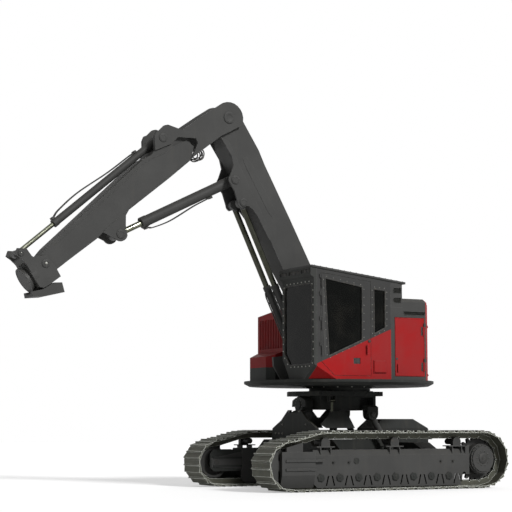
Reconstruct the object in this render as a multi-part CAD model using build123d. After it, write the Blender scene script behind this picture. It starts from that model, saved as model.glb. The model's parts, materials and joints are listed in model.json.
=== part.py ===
"""Tracked, levelling forestry harvester with cab, boom and stick, no head fitted.

Millimetres. +X forward, +Y to the machine's left (the cab's side), +Z up.
The origin is on the ground, under the swing axis.
"""
from build123d import *
import math
import os

# ---------------------------------------------------------------- driving sizes
CLEAR = 0.3               # between faces that seat on each other on different pieces
RUNNING = 0.05            # radial, pin or shaft in its bearing
SLIDE = 0.3               # radial, piston rod in its barrel
EYE_SIDE = 5.0            # from a cylinder's eye to the lug beside it

# tracks
TRACK_Y = 1258.0          # centre line of a track
SHOE_WIDTH = 610.0
SHOE_COUNT = 48
GROUSER_TIP = 90.0        # pitch line to the grouser's tip
SHOE_FACE = 62.0          # pitch line to the shoe plate's outer face
SHOE_BACK = 48.0          # pitch line to the shoe plate's inner face
LINK_DEPTH = 45.0         # pitch line to the rail that the rollers run on
LINK_THICK = 42.0
LINK_OFFSET = 78.0        # track centre to each row of links
IDLER_X = 1815.0
IDLER_PITCH_R = 315.0
SPROCKET_X = -1895.0
SPROCKET_PITCH_R = 388.0
CREST_X = 1300.0          # where the upper run leaves its level stretch
CREST_R = 420.0

# rollers
ROLLER_COUNT = 8
ROLLER_PITCH = 348.0
ROLLER_FIRST_X = 1217.0
ROLLER_R = 66.0
ROLLER_LENGTH = 230.0
CARRIER_X = (1120.0, -175.0, -1395.0)
CARRIER_Z = 770.0
CARRIER_CAP_R = 78.0      # end of the carrier, outboard of the links
CARRIER_SEAT_Z = 708.0

# side frames
FRAME_OUT_Y = TRACK_Y + 192.0
FRAME_IN_Y = TRACK_Y - 228.0
FRAME_TOP = 650.0
FRAME_CHAMFER = 90.0
FRAME_BOTTOM = 275.0
FRAME_FRONT = 1330.0
FRAME_REAR = -1560.0
GUARD_THICK = 34.0
GUARD_BOTTOM = 60.0
GUARD_BAYS = 9
COVER_THICK = 45.0        # idler cover plate
DRIVE_PLATE = 60.0        # plate of the side frame behind the final drive
SPROCKET_GAP = 40.0       # half the slot in the frame's end for the sprocket
SPROCKET_TEETH = 21
IDLER_AXLE_R = 55.0

# final drives
DRIVE_R = 252.0
DRIVE_HUB_R = 205.0
DRIVE_OUT_Y = TRACK_Y + 217.0

# carbody
SPINE_HALF_W = 300.0
SPINE_BOTTOM, SPINE_TOP = 430.0, 800.0
SPINE_FRONT, SPINE_REAR = 1180.0, -1600.0
FRONT_BEAM_X = (600.0, 1050.0)
FRONT_BEAM_Z = (400.0, 800.0)
REAR_BEAM_X = (-1300.0, -985.0)
REAR_BEAM_Z = (350.0, 750.0)
HUMP_HALF_W = 250.0
POST_X = (850.0, 890.0)   # the front post's shield plate
SHIELD = ((780.0, 795.0), (760.0, 985.0), (450.0, 1120.0), (215.0, 1292.0), (146.0, 1292.0),
          (146.0, 1250.0))   # half outline: y, z
HUMP_TOP = 1145.0

# levelling: pitch about Y at the front post, roll about X through the turntable's box
PITCH_X, PITCH_Z = 740.0, 1185.0
PITCH_PIN_R = 60.0
PITCH_BOSS_R = 92.0
EAR_R = 104.0
EAR_GAP = 6.0
EAR_THICK = 70.0
HANGER_HALF_W = 134.0
TRUNNION_X = (600.0, 800.0)   # flange round the roll shaft, in front of the box
TRUNNION_R = 138.0
SHOULDERS = ((100.0, 1345.0), (232.0, 1345.0), (215.0, 1450.0), (150.0, 1477.0), (100.0, 1496.0))
SHOULDER_T = 30.0
ROLL_Z = 1380.0
ROLL_SHAFT_R = 70.0
BEAM_HALF_W = 140.0
BEAM_BOTTOM, BEAM_TOP = 1302.0, 1462.0
KEEL_BOTTOM, KEEL_TOP = 1030.0, 1170.0
PITCH_CYL_Y = 455.0
PITCH_CYL_TOP = (-330.0, 1220.0)
PITCH_CYL_LUG = (-880.0, 360.0)
PITCH_PIN_SMALL_R = 30.0
PITCH_CYL_R = 52.0
PITCH_ROD_R = 34.0
PITCH_EYE_R = 60.0
PITCH_EYE_HALF = 48.0
PITCH_BARREL_L = 780.0
PITCH_ROD_IN = 244.0      # from the barrel's pin to the rod's inner end, at rest
LUG_THICK = 36.0
LOBE_R = 96.0
ARM_X = (-430.0, -230.0)
ARM_Z = (1318.0, 1372.0)
ROLL_CYL_X = 420.0
ROLL_CYL_Y = 450.0
ROLL_CYL_BASE_Z = 900.0
ROLL_CYL_TOP_Z = 1450.0
ROLL_CYL_R = 42.0
ROLL_ROD_R = 24.0
ROLL_EYE_R = 34.0
ROLL_EYE_HALF = 43.0
ROLL_PIN_R = 18.0
ROLL_BARREL_L = 360.0
ROLL_ROD_L = 360.0
ROLL_LUG_THICK = 22.0
WING = ((24.0, 990.0), (570.0, 990.0), (686.0, 1053.0), (458.0, 1269.0), (217.0, 1269.0), (120.0, 1156.0))
WING_T = 16.0
WING_Y = ROLL_CYL_Y + 70.0    # clear of the barrels when they swing

# turntable
PLATE_BOTTOM, PLATE_TOP = 1525.0, 1600.0
PLATE_FRONT, PLATE_REAR, PLATE_HALF_W = 720.0, -520.0, 550.0
PLATE_NOSE, PLATE_NOSE_HALF_W = 930.0, 120.0
BOX_FRONT, BOX_REAR, BOX_HALF_W = 575.0, -505.0, 350.0
BOX_BOTTOM = 1300.0
BOX_WALL = 36.0
ARCH_TOP = 1505.0         # cut-out in the box's side for the cross arm
SWING_SEAT_Z = 1660.0     # the plane where the bearing's two rings meet
LOWER_RING_R, UPPER_RING_R = 520.0, 640.0

# deck
DECK_X = 20.0             # the disc's centre is a little ahead of the swing axis
DECK_R = 1610.0
DECK_BOTTOM, DECK_TOP = 1690.0, 1775.0
DECK_RIM_Z = 1734.0       # under the rim's upright band the deck is bevelled inwards
DECK_BEVEL = 85.0

# upper body plan
SIDE_Y = 1350.0
SIDE_REAR_X = -860.0      # where the flat sides turn into the tail
TAIL_R = 1500.0
BULKHEAD_X = -180.0       # between cab and engine housing
HOUSING_TOP = 3120.0
HOUSING_WALL = 40.0
SHOULDER = 55.0           # bevel of the housing's upper edges
SLOT_LEFT_Y, SLOT_RIGHT_Y = 305.0, -380.0   # inner faces of the boom's slot
SLOT_REAR_X = -340.0
COUNTERWEIGHT_X = -1025.0
COUNTERWEIGHT_TOP = 2360.0

# cab
CAB_FRONT_X = 1270.0
CAB_IN_Y = 300.0
CAB_WALL = 50.0
CAB_FLOOR_T = 40.0
ROOF_FRONT_Z, ROOF_REAR_Z = 3590.0, 3385.0
ROOF_REAR_X = -464.0
ROOF_T = 34.0
DOOR_REAR_X = 205.0
DOOR_GAP = 6.0
HINGE_OUT = 14.0          # a door's hinge line, outside the face of the door
HINGE_R = 12.0
HINGE_LEAF = 60.0         # length of a fixed knuckle
VENT_REAR_X = -402.0
VENT_BASE_Z = HOUSING_TOP - 156.0
VENT_IN_Y = 360.0
GLASS_T = 12.0

# engine and service doors
ENGINE_DOOR_X = (-838.0, -250.0)
ENGINE_DOOR_Z = (1832.0, 2805.0)
PANEL_T = 36.0
PANEL_PROUD = 4.0

# right side
HOOD_RIGHT_FRONT_X = 860.0
HOOD_RIGHT_SIDE_Z = 2930.0
HOOD_RIGHT_CROWN_Z = 3020.0
BOX_RIGHT_FRONT_X = 1125.0
BOX_RIGHT_TOP_Z = 2200.0

# boom, in the plane Y = 0
FOOT_PLATE_R = 190.0      # of the tower's plates round the boom's foot
FOOT = (50.0, 2380.0)
ELBOW = (2256.0, 6087.0)
BOOM_CYL_BASE = (720.0, 2050.0)
BOOM_CYL_PIN = (1965.0, 4699.0)
STICK_CYL_BASE = (2114.0, 5064.0)
BOOM_HALF_W = 200.0
BOOM_LUG_T = 36.0
BOOM_CYL_Y = 140.0
BOOM_CYL_R = 62.0
BOOM_ROD_R = 47.0
BOOM_BARREL_L = 1450.0
BOOM_ROD_IN = 1178.0
FOOT_R = 170.0
FOOT_PIN_R = 62.0
TOWER_IN_Y = 245.0
TOWER_T = 46.0

# stick
STICK_CYL_PIN = (4149.0, 4047.0)
TOOL_CYL_BASE = (3444.0, 5650.0)
WRIST = (5387.0, 3519.0)
STICK_HALF_W = 242.0
STICK_TIP_HALF_W = 190.0
CHEEK_T = 40.0
STICK_EAR_T = 42.0
WRIST_BOSS_R = 130.0
ELBOW_R = 262.0
ELBOW_PIN_R = 62.0
STICK_CYL_R = 88.0
STICK_ROD_R = 50.0
STICK_BARREL_L = 1774.0
STICK_ROD_IN = 555.0

# wrist and tool flange
TOOL_CYL_PIN = (5790.0, 3660.0)
TOOL_CYL_R = 62.0
TOOL_ROD_R = 37.0
TOOL_BARREL_L = 2290.0
TOOL_ROD_IN = 1876.0
BRACKET_IN_Y = 196.0
BRACKET_T = 42.0
FLANGE_TILT = 34.0        # the flange faces forward and this far below level
FLANGE_CENTRE = (5560.0, 3314.0)
FLANGE_R = 215.0
FLANGE_RING_R = 245.0
FLANGE_BOLT_PCD = 360.0
FLANGE_BOLT_R = 11.0
FLANGE_BOLTS = 12

PIN_R = 50.0              # boom, stick and cylinder pins
EYE_R = 88.0


# ---------------------------------------------------------------- helpers
def face_xz(points, y):
    """A face in the plane Y = y from (x, z) corners; its normal is -Y."""
    plane = Plane(origin=(0, y, 0), x_dir=(1, 0, 0), z_dir=(0, -1, 0))
    return plane * make_face(Polyline(*points, close=True))


def slab_y(points, y_low, y_high):
    """A plate with the (x, z) outline, from y_low to y_high."""
    return extrude(face_xz(points, y_high), y_high - y_low)


def slab_x(points, x_low, x_high):
    """A plate with the (y, z) outline, from x_low to x_high."""
    plane = Plane(origin=(x_low, 0, 0), x_dir=(0, 1, 0), z_dir=(1, 0, 0))
    return extrude(plane * make_face(Polyline(*points, close=True)), x_high - x_low)


def slab_z(points, z_low, z_high):
    """A plate with the (x, y) outline, from z_low to z_high."""
    return extrude(Plane.XY.offset(z_low) * make_face(Polyline(*points, close=True)), z_high - z_low)


def block(x, y, z):
    """A box from its three (low, high) pairs."""
    return Pos((x[0] + x[1]) / 2, (y[0] + y[1]) / 2, (z[0] + z[1]) / 2) * Box(
        x[1] - x[0], y[1] - y[0], z[1] - z[0])


def rod(start, end, radius):
    """A round bar from start to end, both (x, y, z)."""
    a, b = Vector(*start), Vector(*end)
    return Plane(origin=a, z_dir=(b - a).normalized()) * Cylinder(
        radius, (b - a).length, align=(Align.CENTER, Align.CENTER, Align.MIN))


def pin_y(xz, radius, y_low, y_high):
    """A round bar along Y through the point (x, z)."""
    return rod((xz[0], y_low, xz[1]), (xz[0], y_high, xz[1]), radius)


def pin_z(xy, radius, z_low, z_high):
    return Pos(xy[0], xy[1], z_low) * Cylinder(
        radius, z_high - z_low, align=(Align.CENTER, Align.CENTER, Align.MIN))


def mirrored(shape):
    """The same shape on the machine's other side."""
    return mirror(shape, about=Plane.XZ)


def toward(start, end, distance):
    """The (x, z) point that far from start on the line to end."""
    length = math.dist(start, end)
    return tuple(a + (b - a) * distance / length for a, b in zip(start, end))


def along(points, x):
    """Height at x on the straight line through two (x, z) points."""
    (x0, z0), (x1, z1) = points
    return z0 + (z1 - z0) * (x - x0) / (x1 - x0)


def arc_points(centre, radius, start, end, steps):
    """Points on an arc in degrees, both ends included."""
    return [(centre[0] + radius * math.cos(math.radians(start + (end - start) * i / steps)),
             centre[1] + radius * math.sin(math.radians(start + (end - start) * i / steps)))
            for i in range(steps + 1)]


def save(shape, node):
    """Write one node's STEP file."""
    shape.label = node
    export_step(shape, f"parts/{node}.step")


def together(*shapes):
    """Several solids that share a node without touching."""
    solids = []
    for shape in shapes:
        solids.extend(shape.solids())
    return Compound(children=solids)


# ---------------------------------------------------------------- tracks
def track_line():
    """The pitch line: (length, point at s) over its straight runs and arcs, clockwise from the rear
    of the lower run, so that the lower run goes forward and the outside is on the right."""
    low = GROUSER_TIP
    idler = (IDLER_X, low + IDLER_PITCH_R)
    sprocket = (SPROCKET_X, low + SPROCKET_PITCH_R)
    crest = (CREST_X, low + 2 * SPROCKET_PITCH_R - CREST_R)
    # the sloping run touches the idler's and the crest's circles on their outer side
    dx, dz = crest[0] - idler[0], crest[1] - idler[1]
    span = math.hypot(dx, dz)
    lean = math.degrees(math.atan2(dz, dx)) - 90
    lean += math.degrees(math.asin((CREST_R - IDLER_PITCH_R) / span))
    pieces = []

    def run(a, b):
        length = math.dist(a, b)
        pieces.append((length, lambda s: toward(a, b, s)))

    def turn(centre, radius, start, end):
        length = radius * math.radians(end - start)
        pieces.append((length, lambda s: arc_points(
            centre, radius, start, start + math.degrees(s / radius), 1)[1]))

    def at(centre, radius, angle):
        return arc_points(centre, radius, angle, angle, 1)[0]

    run((SPROCKET_X, low), (IDLER_X, low))
    turn(idler, IDLER_PITCH_R, -90, lean)
    run(at(idler, IDLER_PITCH_R, lean), at(crest, CREST_R, lean))
    turn(crest, CREST_R, lean, 90)
    run((CREST_X, low + 2 * SPROCKET_PITCH_R), (SPROCKET_X, low + 2 * SPROCKET_PITCH_R))
    turn(sprocket, SPROCKET_PITCH_R, 90, 270)
    return pieces


def track_joints():
    """The link pins, evenly spaced along the pitch line."""
    pieces = track_line()
    total = sum(length for length, _ in pieces)
    points = []
    for i in range(SHOE_COUNT):
        s = total * i / SHOE_COUNT
        for length, place in pieces:
            if s <= length:
                points.append(place(s))
                break
            s -= length
    return points


def around_track(profile):
    """An outline round the track: profile holds (share of the link, distance outward)."""
    joints = track_joints()
    outline = []
    for i, start in enumerate(joints):
        end = joints[(i + 1) % SHOE_COUNT]
        length = math.dist(start, end)
        tx, tz = (end[0] - start[0]) / length, (end[1] - start[1]) / length
        for share, out in profile:
            outline.append((start[0] + tx * length * share + tz * out,
                            start[1] + tz * length * share - tx * out))
    return outline


SHOE_PROFILE = (          # share of the link, distance outward: two grousers a shoe
    (0.03, SHOE_FACE), (0.15, SHOE_FACE), (0.19, GROUSER_TIP), (0.25, GROUSER_TIP),
    (0.72, SHOE_FACE), (0.80, GROUSER_TIP), (0.86, SHOE_FACE), (0.98, SHOE_FACE - 8))
LINK_PROFILE = ((0.0, -12.0), (0.12, -LINK_DEPTH), (0.88, -LINK_DEPTH))


def track(side_y):
    """Shoes on two rows of links, one closed loop."""
    shoes_out = face_xz(around_track(SHOE_PROFILE), side_y + SHOE_WIDTH / 2)
    shoes_in = face_xz(around_track(((0.0, SHOE_BACK),)), side_y + SHOE_WIDTH / 2)
    shape = extrude(shoes_out - shoes_in, SHOE_WIDTH)
    # the outer row shows each link, the inner one is a plain rail
    for offset, profile in ((LINK_OFFSET, LINK_PROFILE), (-LINK_OFFSET, ((0.0, -LINK_DEPTH),))):
        y = side_y + math.copysign(1, side_y) * offset + LINK_THICK / 2
        outer = face_xz(around_track(((0.0, SHOE_BACK + 4),)), y)
        inner = face_xz(around_track(profile), y)
        shape += extrude(outer - inner, LINK_THICK)
    return shape


# ---------------------------------------------------------------- undercarriage
RAIL_Z = GROUSER_TIP + LINK_DEPTH          # top of the lower run's rails
UPPER_RAIL_Z = GROUSER_TIP + 2 * SPROCKET_PITCH_R - LINK_DEPTH
IDLER = (IDLER_X, GROUSER_TIP + IDLER_PITCH_R)
SPROCKET = (SPROCKET_X, GROUSER_TIP + SPROCKET_PITCH_R)


def link_pitch():
    """Length of one link along the pitch line."""
    return sum(length for length, _ in track_line()) / SHOE_COUNT


def rail_radius(pitch_r):
    """Nearest that the rails come to the centre of a wheel with that pitch radius."""
    return math.sqrt(pitch_r ** 2 - (link_pitch() / 2) ** 2) - LINK_DEPTH


def side_frame():
    """Left side frame: box beam, slotted roller guard, idler fork and ribbed idler cover."""
    shape = slab_x([
        (FRAME_IN_Y, FRAME_BOTTOM), (FRAME_OUT_Y, FRAME_BOTTOM),
        (FRAME_OUT_Y, FRAME_TOP - FRAME_CHAMFER), (FRAME_OUT_Y - FRAME_CHAMFER * 0.7, FRAME_TOP),
        (FRAME_IN_Y, FRAME_TOP)], FRAME_REAR, FRAME_FRONT)

    # roller guards on both sides, the outer one with slanted slots between its bays
    front_x = ROLLER_FIRST_X + 0.36 * ROLLER_PITCH
    rear_x = ROLLER_FIRST_X - (GUARD_BAYS - 1.18) * ROLLER_PITCH
    guard = [(rear_x, FRAME_BOTTOM + 20), (rear_x + 40, GUARD_BOTTOM), (front_x - 60, GUARD_BOTTOM),
             (front_x, GUARD_BOTTOM + 60), (front_x, FRAME_BOTTOM + 20)]
    shape += slab_y(guard, FRAME_IN_Y, FRAME_IN_Y + GUARD_THICK)
    outer = slab_y(guard, FRAME_OUT_Y - GUARD_THICK, FRAME_OUT_Y)
    for i in range(GUARD_BAYS - 1):
        x = ROLLER_FIRST_X - (i + 0.5) * ROLLER_PITCH
        for lean in (1, -1):
            slot = [(x + lean * 20, 246), (x + lean * 46, 246), (x + lean * 88, 88), (x + lean * 62, 88)]
            outer -= slab_y(slot, FRAME_OUT_Y - GUARD_THICK - 1, FRAME_OUT_Y + 1)
    shape += outer

    # idler fork: two arms past the beam's front end
    for y in (FRAME_IN_Y + 25, FRAME_OUT_Y - 75):
        shape += slab_y([(FRAME_FRONT - 5, 300), (IDLER_X + 90, 330), (IDLER_X + 90, 480),
                         (FRAME_FRONT - 5, 590)], y, y + 45)
    shape -= pin_y(IDLER, IDLER_AXLE_R + RUNNING, 0, FRAME_OUT_Y - 25)

    # cover over the idler: upright plate with two ribs, a lower edge that turns in, a block on top
    cover_y = FRAME_OUT_Y + COVER_THICK
    cover = slab_x([(FRAME_OUT_Y - 25, 625), (cover_y, 625), (cover_y, 262), (cover_y - 75, 66),
                    (cover_y - 75 - COVER_THICK, 66), (FRAME_OUT_Y - 25, 262)], FRAME_FRONT + 10, 1935)
    cover -= slab_y([(1830, 60), (1940, 120), (1940, 60)], FRAME_IN_Y, cover_y + 1)
    cover += slab_y([(1560, 600), (1560, 770), (1850, 690), (1850, 600)], FRAME_OUT_Y - 25, cover_y - 8)
    for z, rear in ((470, 1178), (333, 1330)):
        cover += slab_y([(rear, z), (1870, z), (1870, z + 34), (rear, z + 34)],
                        FRAME_OUT_Y - 2, cover_y + 22)
    shape += cover
    # half-moon in front of the idler's hub
    moon = [(1965, 130)] + arc_points((1690, 400), 400, -38, 40, 6) + [(1965, 670)]
    shape += slab_y(moon, FRAME_OUT_Y - 60, FRAME_OUT_Y - 32)
    shape += slab_y([(1880, 330), (1975, 330), (1975, 480), (1880, 480)], FRAME_OUT_Y - 75,
                    FRAME_OUT_Y - 31)

    # seats of the carrier rollers: a plate on two legs
    for x in CARRIER_X:
        seat_y = (FRAME_OUT_Y - 190, FRAME_OUT_Y - 5)
        shape += block((x - 165, x + 165), seat_y, (CARRIER_SEAT_Z - 18, CARRIER_SEAT_Z))
        for dx in (-100, 84):
            shape += block((x + dx, x + dx + 16), seat_y, (FRAME_TOP - 90, CARRIER_SEAT_Z - 17))
    # plates that the final drive bolts to, apart for the sprocket
    rear_plate = [(FRAME_REAR - 70, 235), (FRAME_REAR + 5, 235), (FRAME_REAR + 5, 690),
                  (FRAME_REAR - 70, 720)]
    shape += slab_y(rear_plate, FRAME_IN_Y, TRACK_Y - SPROCKET_GAP)
    shape += slab_y(rear_plate, TRACK_Y + SPROCKET_GAP, FRAME_OUT_Y)
    shape -= pin_y(SPROCKET, SPROCKET_PITCH_R + 8, TRACK_Y - SPROCKET_GAP, TRACK_Y + SPROCKET_GAP)
    shape += slab_y([(FRAME_REAR, 560), (FRAME_REAR, 290)] + arc_points(SPROCKET, 190, -100, -260, 8),
                    FRAME_IN_Y, FRAME_IN_Y + DRIVE_PLATE)
    return shape


def idler():
    """Left front idler on its axle."""
    rim = rail_radius(IDLER_PITCH_R) - 0.5
    between = LINK_OFFSET - LINK_THICK / 2 - 10
    wheel = pin_y(IDLER, rim, TRACK_Y - 105, TRACK_Y + 105)
    wheel += pin_y(IDLER, rim + 25, TRACK_Y - between, TRACK_Y + between)
    for low, high in ((TRACK_Y - 106, TRACK_Y - 60), (TRACK_Y + 60, TRACK_Y + 106)):
        wheel -= pin_y(IDLER, rim - 40, low, high) - pin_y(IDLER, 95, low, high)
    return wheel + pin_y(IDLER, IDLER_AXLE_R, FRAME_IN_Y + 22, FRAME_OUT_Y - 32)


def roller(x):
    """One lower roller with its axle, between the two guards."""
    centre = (x, RAIL_Z + ROLLER_R + CLEAR)
    body = pin_y(centre, ROLLER_R, TRACK_Y - ROLLER_LENGTH / 2, TRACK_Y + ROLLER_LENGTH / 2)
    return body + pin_y(centre, 30, FRAME_IN_Y + GUARD_THICK + CLEAR, FRAME_OUT_Y - GUARD_THICK - CLEAR)


def carrier(x):
    """One carrier roller with the domed cap at its outer end, on the plate of its seat."""
    centre = (x, CARRIER_Z)
    links_end = TRACK_Y + LINK_OFFSET + LINK_THICK / 2
    shape = pin_y(centre, UPPER_RAIL_Z - CARRIER_Z - 2, TRACK_Y - 105, links_end + 8)
    dome = arc_points(centre, CARRIER_CAP_R, 0, 180, 8)
    dome = [(x + CARRIER_CAP_R, CARRIER_SEAT_Z + CLEAR)] + dome + [(x - CARRIER_CAP_R, CARRIER_SEAT_Z + CLEAR)]
    return shape + slab_y(dome, links_end + 6, FRAME_OUT_Y - 10)


def final_drive():
    """Left final drive: toothed sprocket, drum, stepped cap."""
    root, tip = rail_radius(SPROCKET_PITCH_R) - 6, SPROCKET_PITCH_R - 12
    step = 360 / SPROCKET_TEETH
    outline = []
    for i in range(SPROCKET_TEETH):
        for share, radius in ((0.0, root), (0.34, root), (0.5, tip), (0.84, tip)):
            outline += arc_points(SPROCKET, radius, step * (i + share), 0, 1)[:1]
    shape = slab_y(outline, TRACK_Y - 28, TRACK_Y + 28)
    shape += pin_y(SPROCKET, DRIVE_R, FRAME_IN_Y + DRIVE_PLATE + CLEAR, DRIVE_OUT_Y - 60)
    shape += pin_y(SPROCKET, DRIVE_HUB_R + 25, DRIVE_OUT_Y - 61, DRIVE_OUT_Y - 22)
    return shape + pin_y(SPROCKET, DRIVE_HUB_R, DRIVE_OUT_Y - 23, DRIVE_OUT_Y)


def carbody():
    """Centre frame: spine, two cross beams to the side frames, front post with a shield plate and
    two ears, rear hump and the lugs of the pitch cylinders."""
    shape = slab_y([(SPINE_REAR, 650), (SPINE_REAR + 150, SPINE_BOTTOM), (SPINE_FRONT - 100, SPINE_BOTTOM),
                    (SPINE_FRONT + 60, 560), (SPINE_FRONT + 60, SPINE_TOP - 60), (SPINE_FRONT, SPINE_TOP),
                    (SPINE_REAR, SPINE_TOP)], -SPINE_HALF_W, SPINE_HALF_W)
    end_y = FRAME_IN_Y - CLEAR
    for (x0, x1), (z0, z1) in ((FRONT_BEAM_X, FRONT_BEAM_Z), (REAR_BEAM_X, REAR_BEAM_Z)):
        shape += slab_x([(-end_y, z0 + 60), (-end_y + 150, z0), (end_y - 150, z0), (end_y, z0 + 60),
                         (end_y, FRAME_TOP - 20), (end_y - 260, z1), (-end_y + 260, z1),
                         (-end_y, FRAME_TOP - 20)], x0, x1)
    # hump over the rear, with sloping sides: height, front, rear, half width
    sections = [Plane.XY.offset(z) * make_face(Polyline(
        (front, -half), (front, half), (rear, half), (rear, -half), close=True))
        for z, front, rear, half in ((SPINE_TOP - 5, -455, -1690, 290), (990, -525, -1600, 285),
                                     (HUMP_TOP, -700, -1320, HUMP_HALF_W))]
    shape += loft(sections[:2], ruled=True) + loft(sections[1:], ruled=True)
    # front post: a shield plate across, and behind it two ears round the pitch pin
    shape += slab_x(list(SHIELD) + [(-y, z) for y, z in reversed(SHIELD)], *POST_X)
    ear = [(600, SPINE_TOP - 5), (POST_X[0] + 1, SPINE_TOP - 5), (POST_X[0] + 1, 1230)]
    ear += arc_points((PITCH_X, PITCH_Z), EAR_R, 30, 180, 8) + [(620, 1000)]
    inner = HANGER_HALF_W + EAR_GAP
    for side in (1, -1):
        shape += slab_y(ear, *sorted((side * inner, side * (inner + EAR_THICK))))
    shape -= pin_y((PITCH_X, PITCH_Z), PITCH_PIN_R + RUNNING, -inner - EAR_THICK - 1, inner + EAR_THICK + 1)
    # lugs of the pitch cylinders on the rear beam's front face
    plate = [(REAR_BEAM_X[1] - 2, 360 - 60), (REAR_BEAM_X[1] - 2, 560), (-900, 520)]
    plate += arc_points(PITCH_CYL_LUG, 70, 40, -100, 5)
    gap = PITCH_EYE_HALF + EYE_SIDE
    for side in (1, -1):
        for y in (-1, 1):
            near = side * PITCH_CYL_Y + y * gap
            far = near + y * LUG_THICK
            shape += slab_y(plate, min(near, far), max(near, far))
            outer = far + y * 14
            shape += pin_y(PITCH_CYL_LUG, PITCH_PIN_SMALL_R, min(near + y, outer), max(near + y, outer))
    return shape


# ---------------------------------------------------------------- levelling
def tilt_frame():
    """Beam with the roll shaft inside the turntable's box, hanger and keel to the pitch pin in
    front, and the cross arms of the levelling cylinders."""
    inner_front, inner_rear = BOX_FRONT - BOX_WALL - 4, BOX_REAR + BOX_WALL + 4
    shape = block((inner_rear, inner_front), (-BEAM_HALF_W, BEAM_HALF_W), (BEAM_BOTTOM, BEAM_TOP))
    shape += rod((inner_rear - BOX_WALL - 20, 0, ROLL_Z), (inner_front + 90, 0, ROLL_Z), ROLL_SHAFT_R)
    # trunnion flange in front of the box, hanger down to the pitch pin's boss, and keel behind it
    shape += rod((TRUNNION_X[0], 0, ROLL_Z), (TRUNNION_X[1], 0, ROLL_Z), TRUNNION_R)
    shape += rod((TRUNNION_X[1] - 1, 0, ROLL_Z), (TRUNNION_X[1] + 14, 0, ROLL_Z), ROLL_SHAFT_R)
    shape += slab_x(list(SHOULDERS) + [(-y, z) for y, z in reversed(SHOULDERS)],
                    TRUNNION_X[1] - SHOULDER_T, TRUNNION_X[1])
    hanger = [(BOX_FRONT + 12, ROLL_Z - 130), (BOX_FRONT + 12, ROLL_Z + 80), (740, ROLL_Z + 90)]
    hanger += [(790, ROLL_Z), (800, PITCH_Z + 70)] + arc_points((PITCH_X, PITCH_Z), PITCH_BOSS_R, 30, -90, 6)
    hanger += [(620, KEEL_BOTTOM + 20), (560, KEEL_BOTTOM), (250, KEEL_BOTTOM), (120, KEEL_TOP),
               (60, BEAM_BOTTOM + 1), (200, BEAM_BOTTOM + 1), (330, KEEL_TOP), (520, KEEL_TOP)]
    shape += slab_y(hanger, -HANGER_HALF_W + 24, HANGER_HALF_W - 24)
    shape += pin_y((PITCH_X, PITCH_Z), PITCH_BOSS_R, -HANGER_HALF_W, HANGER_HALF_W)
    reach = HANGER_HALF_W + EAR_GAP + EAR_THICK + 16
    shape += pin_y((PITCH_X, PITCH_Z), PITCH_PIN_R, -reach, reach)

    # cross arm through the arches of the box, with a lobe each side of every pitch cylinder
    gap = PITCH_EYE_HALF + EYE_SIDE
    end_y = PITCH_CYL_Y + gap + LUG_THICK
    lobe = [(ARM_X[0], ARM_Z[0]), (ARM_X[0], PITCH_CYL_TOP[1])]
    lobe += arc_points(PITCH_CYL_TOP, LOBE_R, 190, 350, 8) + [(ARM_X[1], ARM_Z[0])]
    # its ends are thinner, for the plate above comes down to them when it rolls
    neck = 465.0
    arm = [(neck, ARM_Z[1]), (end_y, ARM_Z[1] - 30), (end_y, ARM_Z[0] - 30), (neck, ARM_Z[0] - 30)]
    shape += slab_x([(-y, z) for y, z in arm] + [(y, z) for y, z in reversed(arm)], *ARM_X)
    for side in (1, -1):
        for y in (-1, 1):
            near = side * PITCH_CYL_Y + y * gap
            far = near + y * LUG_THICK
            shape += slab_y(lobe, min(near, far), max(near, far))
        shape += pin_y(PITCH_CYL_TOP, PITCH_PIN_SMALL_R, *sorted((side * (PITCH_CYL_Y - gap - LUG_THICK - 12),
                                                                  side * (end_y + 12))))

    # arm of the roll cylinders, with a stirrup under each
    arm_x = (ROLL_CYL_X - ROLL_EYE_HALF - EYE_SIDE - 3 * ROLL_LUG_THICK,
             ROLL_CYL_X - ROLL_EYE_HALF - EYE_SIDE)
    shape += block(arm_x, (-WING_Y - 1, WING_Y + 1), (KEEL_BOTTOM + 10, KEEL_TOP - 30))
    front_x = ROLL_CYL_X + ROLL_EYE_HALF + EYE_SIDE
    low = ROLL_CYL_BASE_Z - ROLL_EYE_R - 8
    for side in (1, -1):
        centre = side * ROLL_CYL_Y
        leg = [(centre - 50, low - 22), (centre + 50, low - 22), (centre + 50, KEEL_TOP - 30),
               (centre - 50, KEEL_TOP - 30)]
        shape += slab_x(leg, arm_x[1] - ROLL_LUG_THICK, arm_x[1])
        cap = [(centre - 50, low - 22), (centre + 50, low - 22), (centre + 34, low + 88),
               (centre - 34, low + 88)]
        shape += slab_x(cap, front_x, front_x + ROLL_LUG_THICK)
        shape += block((arm_x[1] - 1, front_x + 1), (centre - 50, centre + 50), (low - 22, low))
        shape += rod((arm_x[1] - ROLL_LUG_THICK - 10, centre, ROLL_CYL_BASE_Z),
                     (front_x + ROLL_LUG_THICK + 10, centre, ROLL_CYL_BASE_Z), ROLL_PIN_R)
        # wing plate that screens the cylinder
        shape += slab_y(WING, *sorted((side * WING_Y, side * (WING_Y + WING_T))))
    return shape


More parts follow.
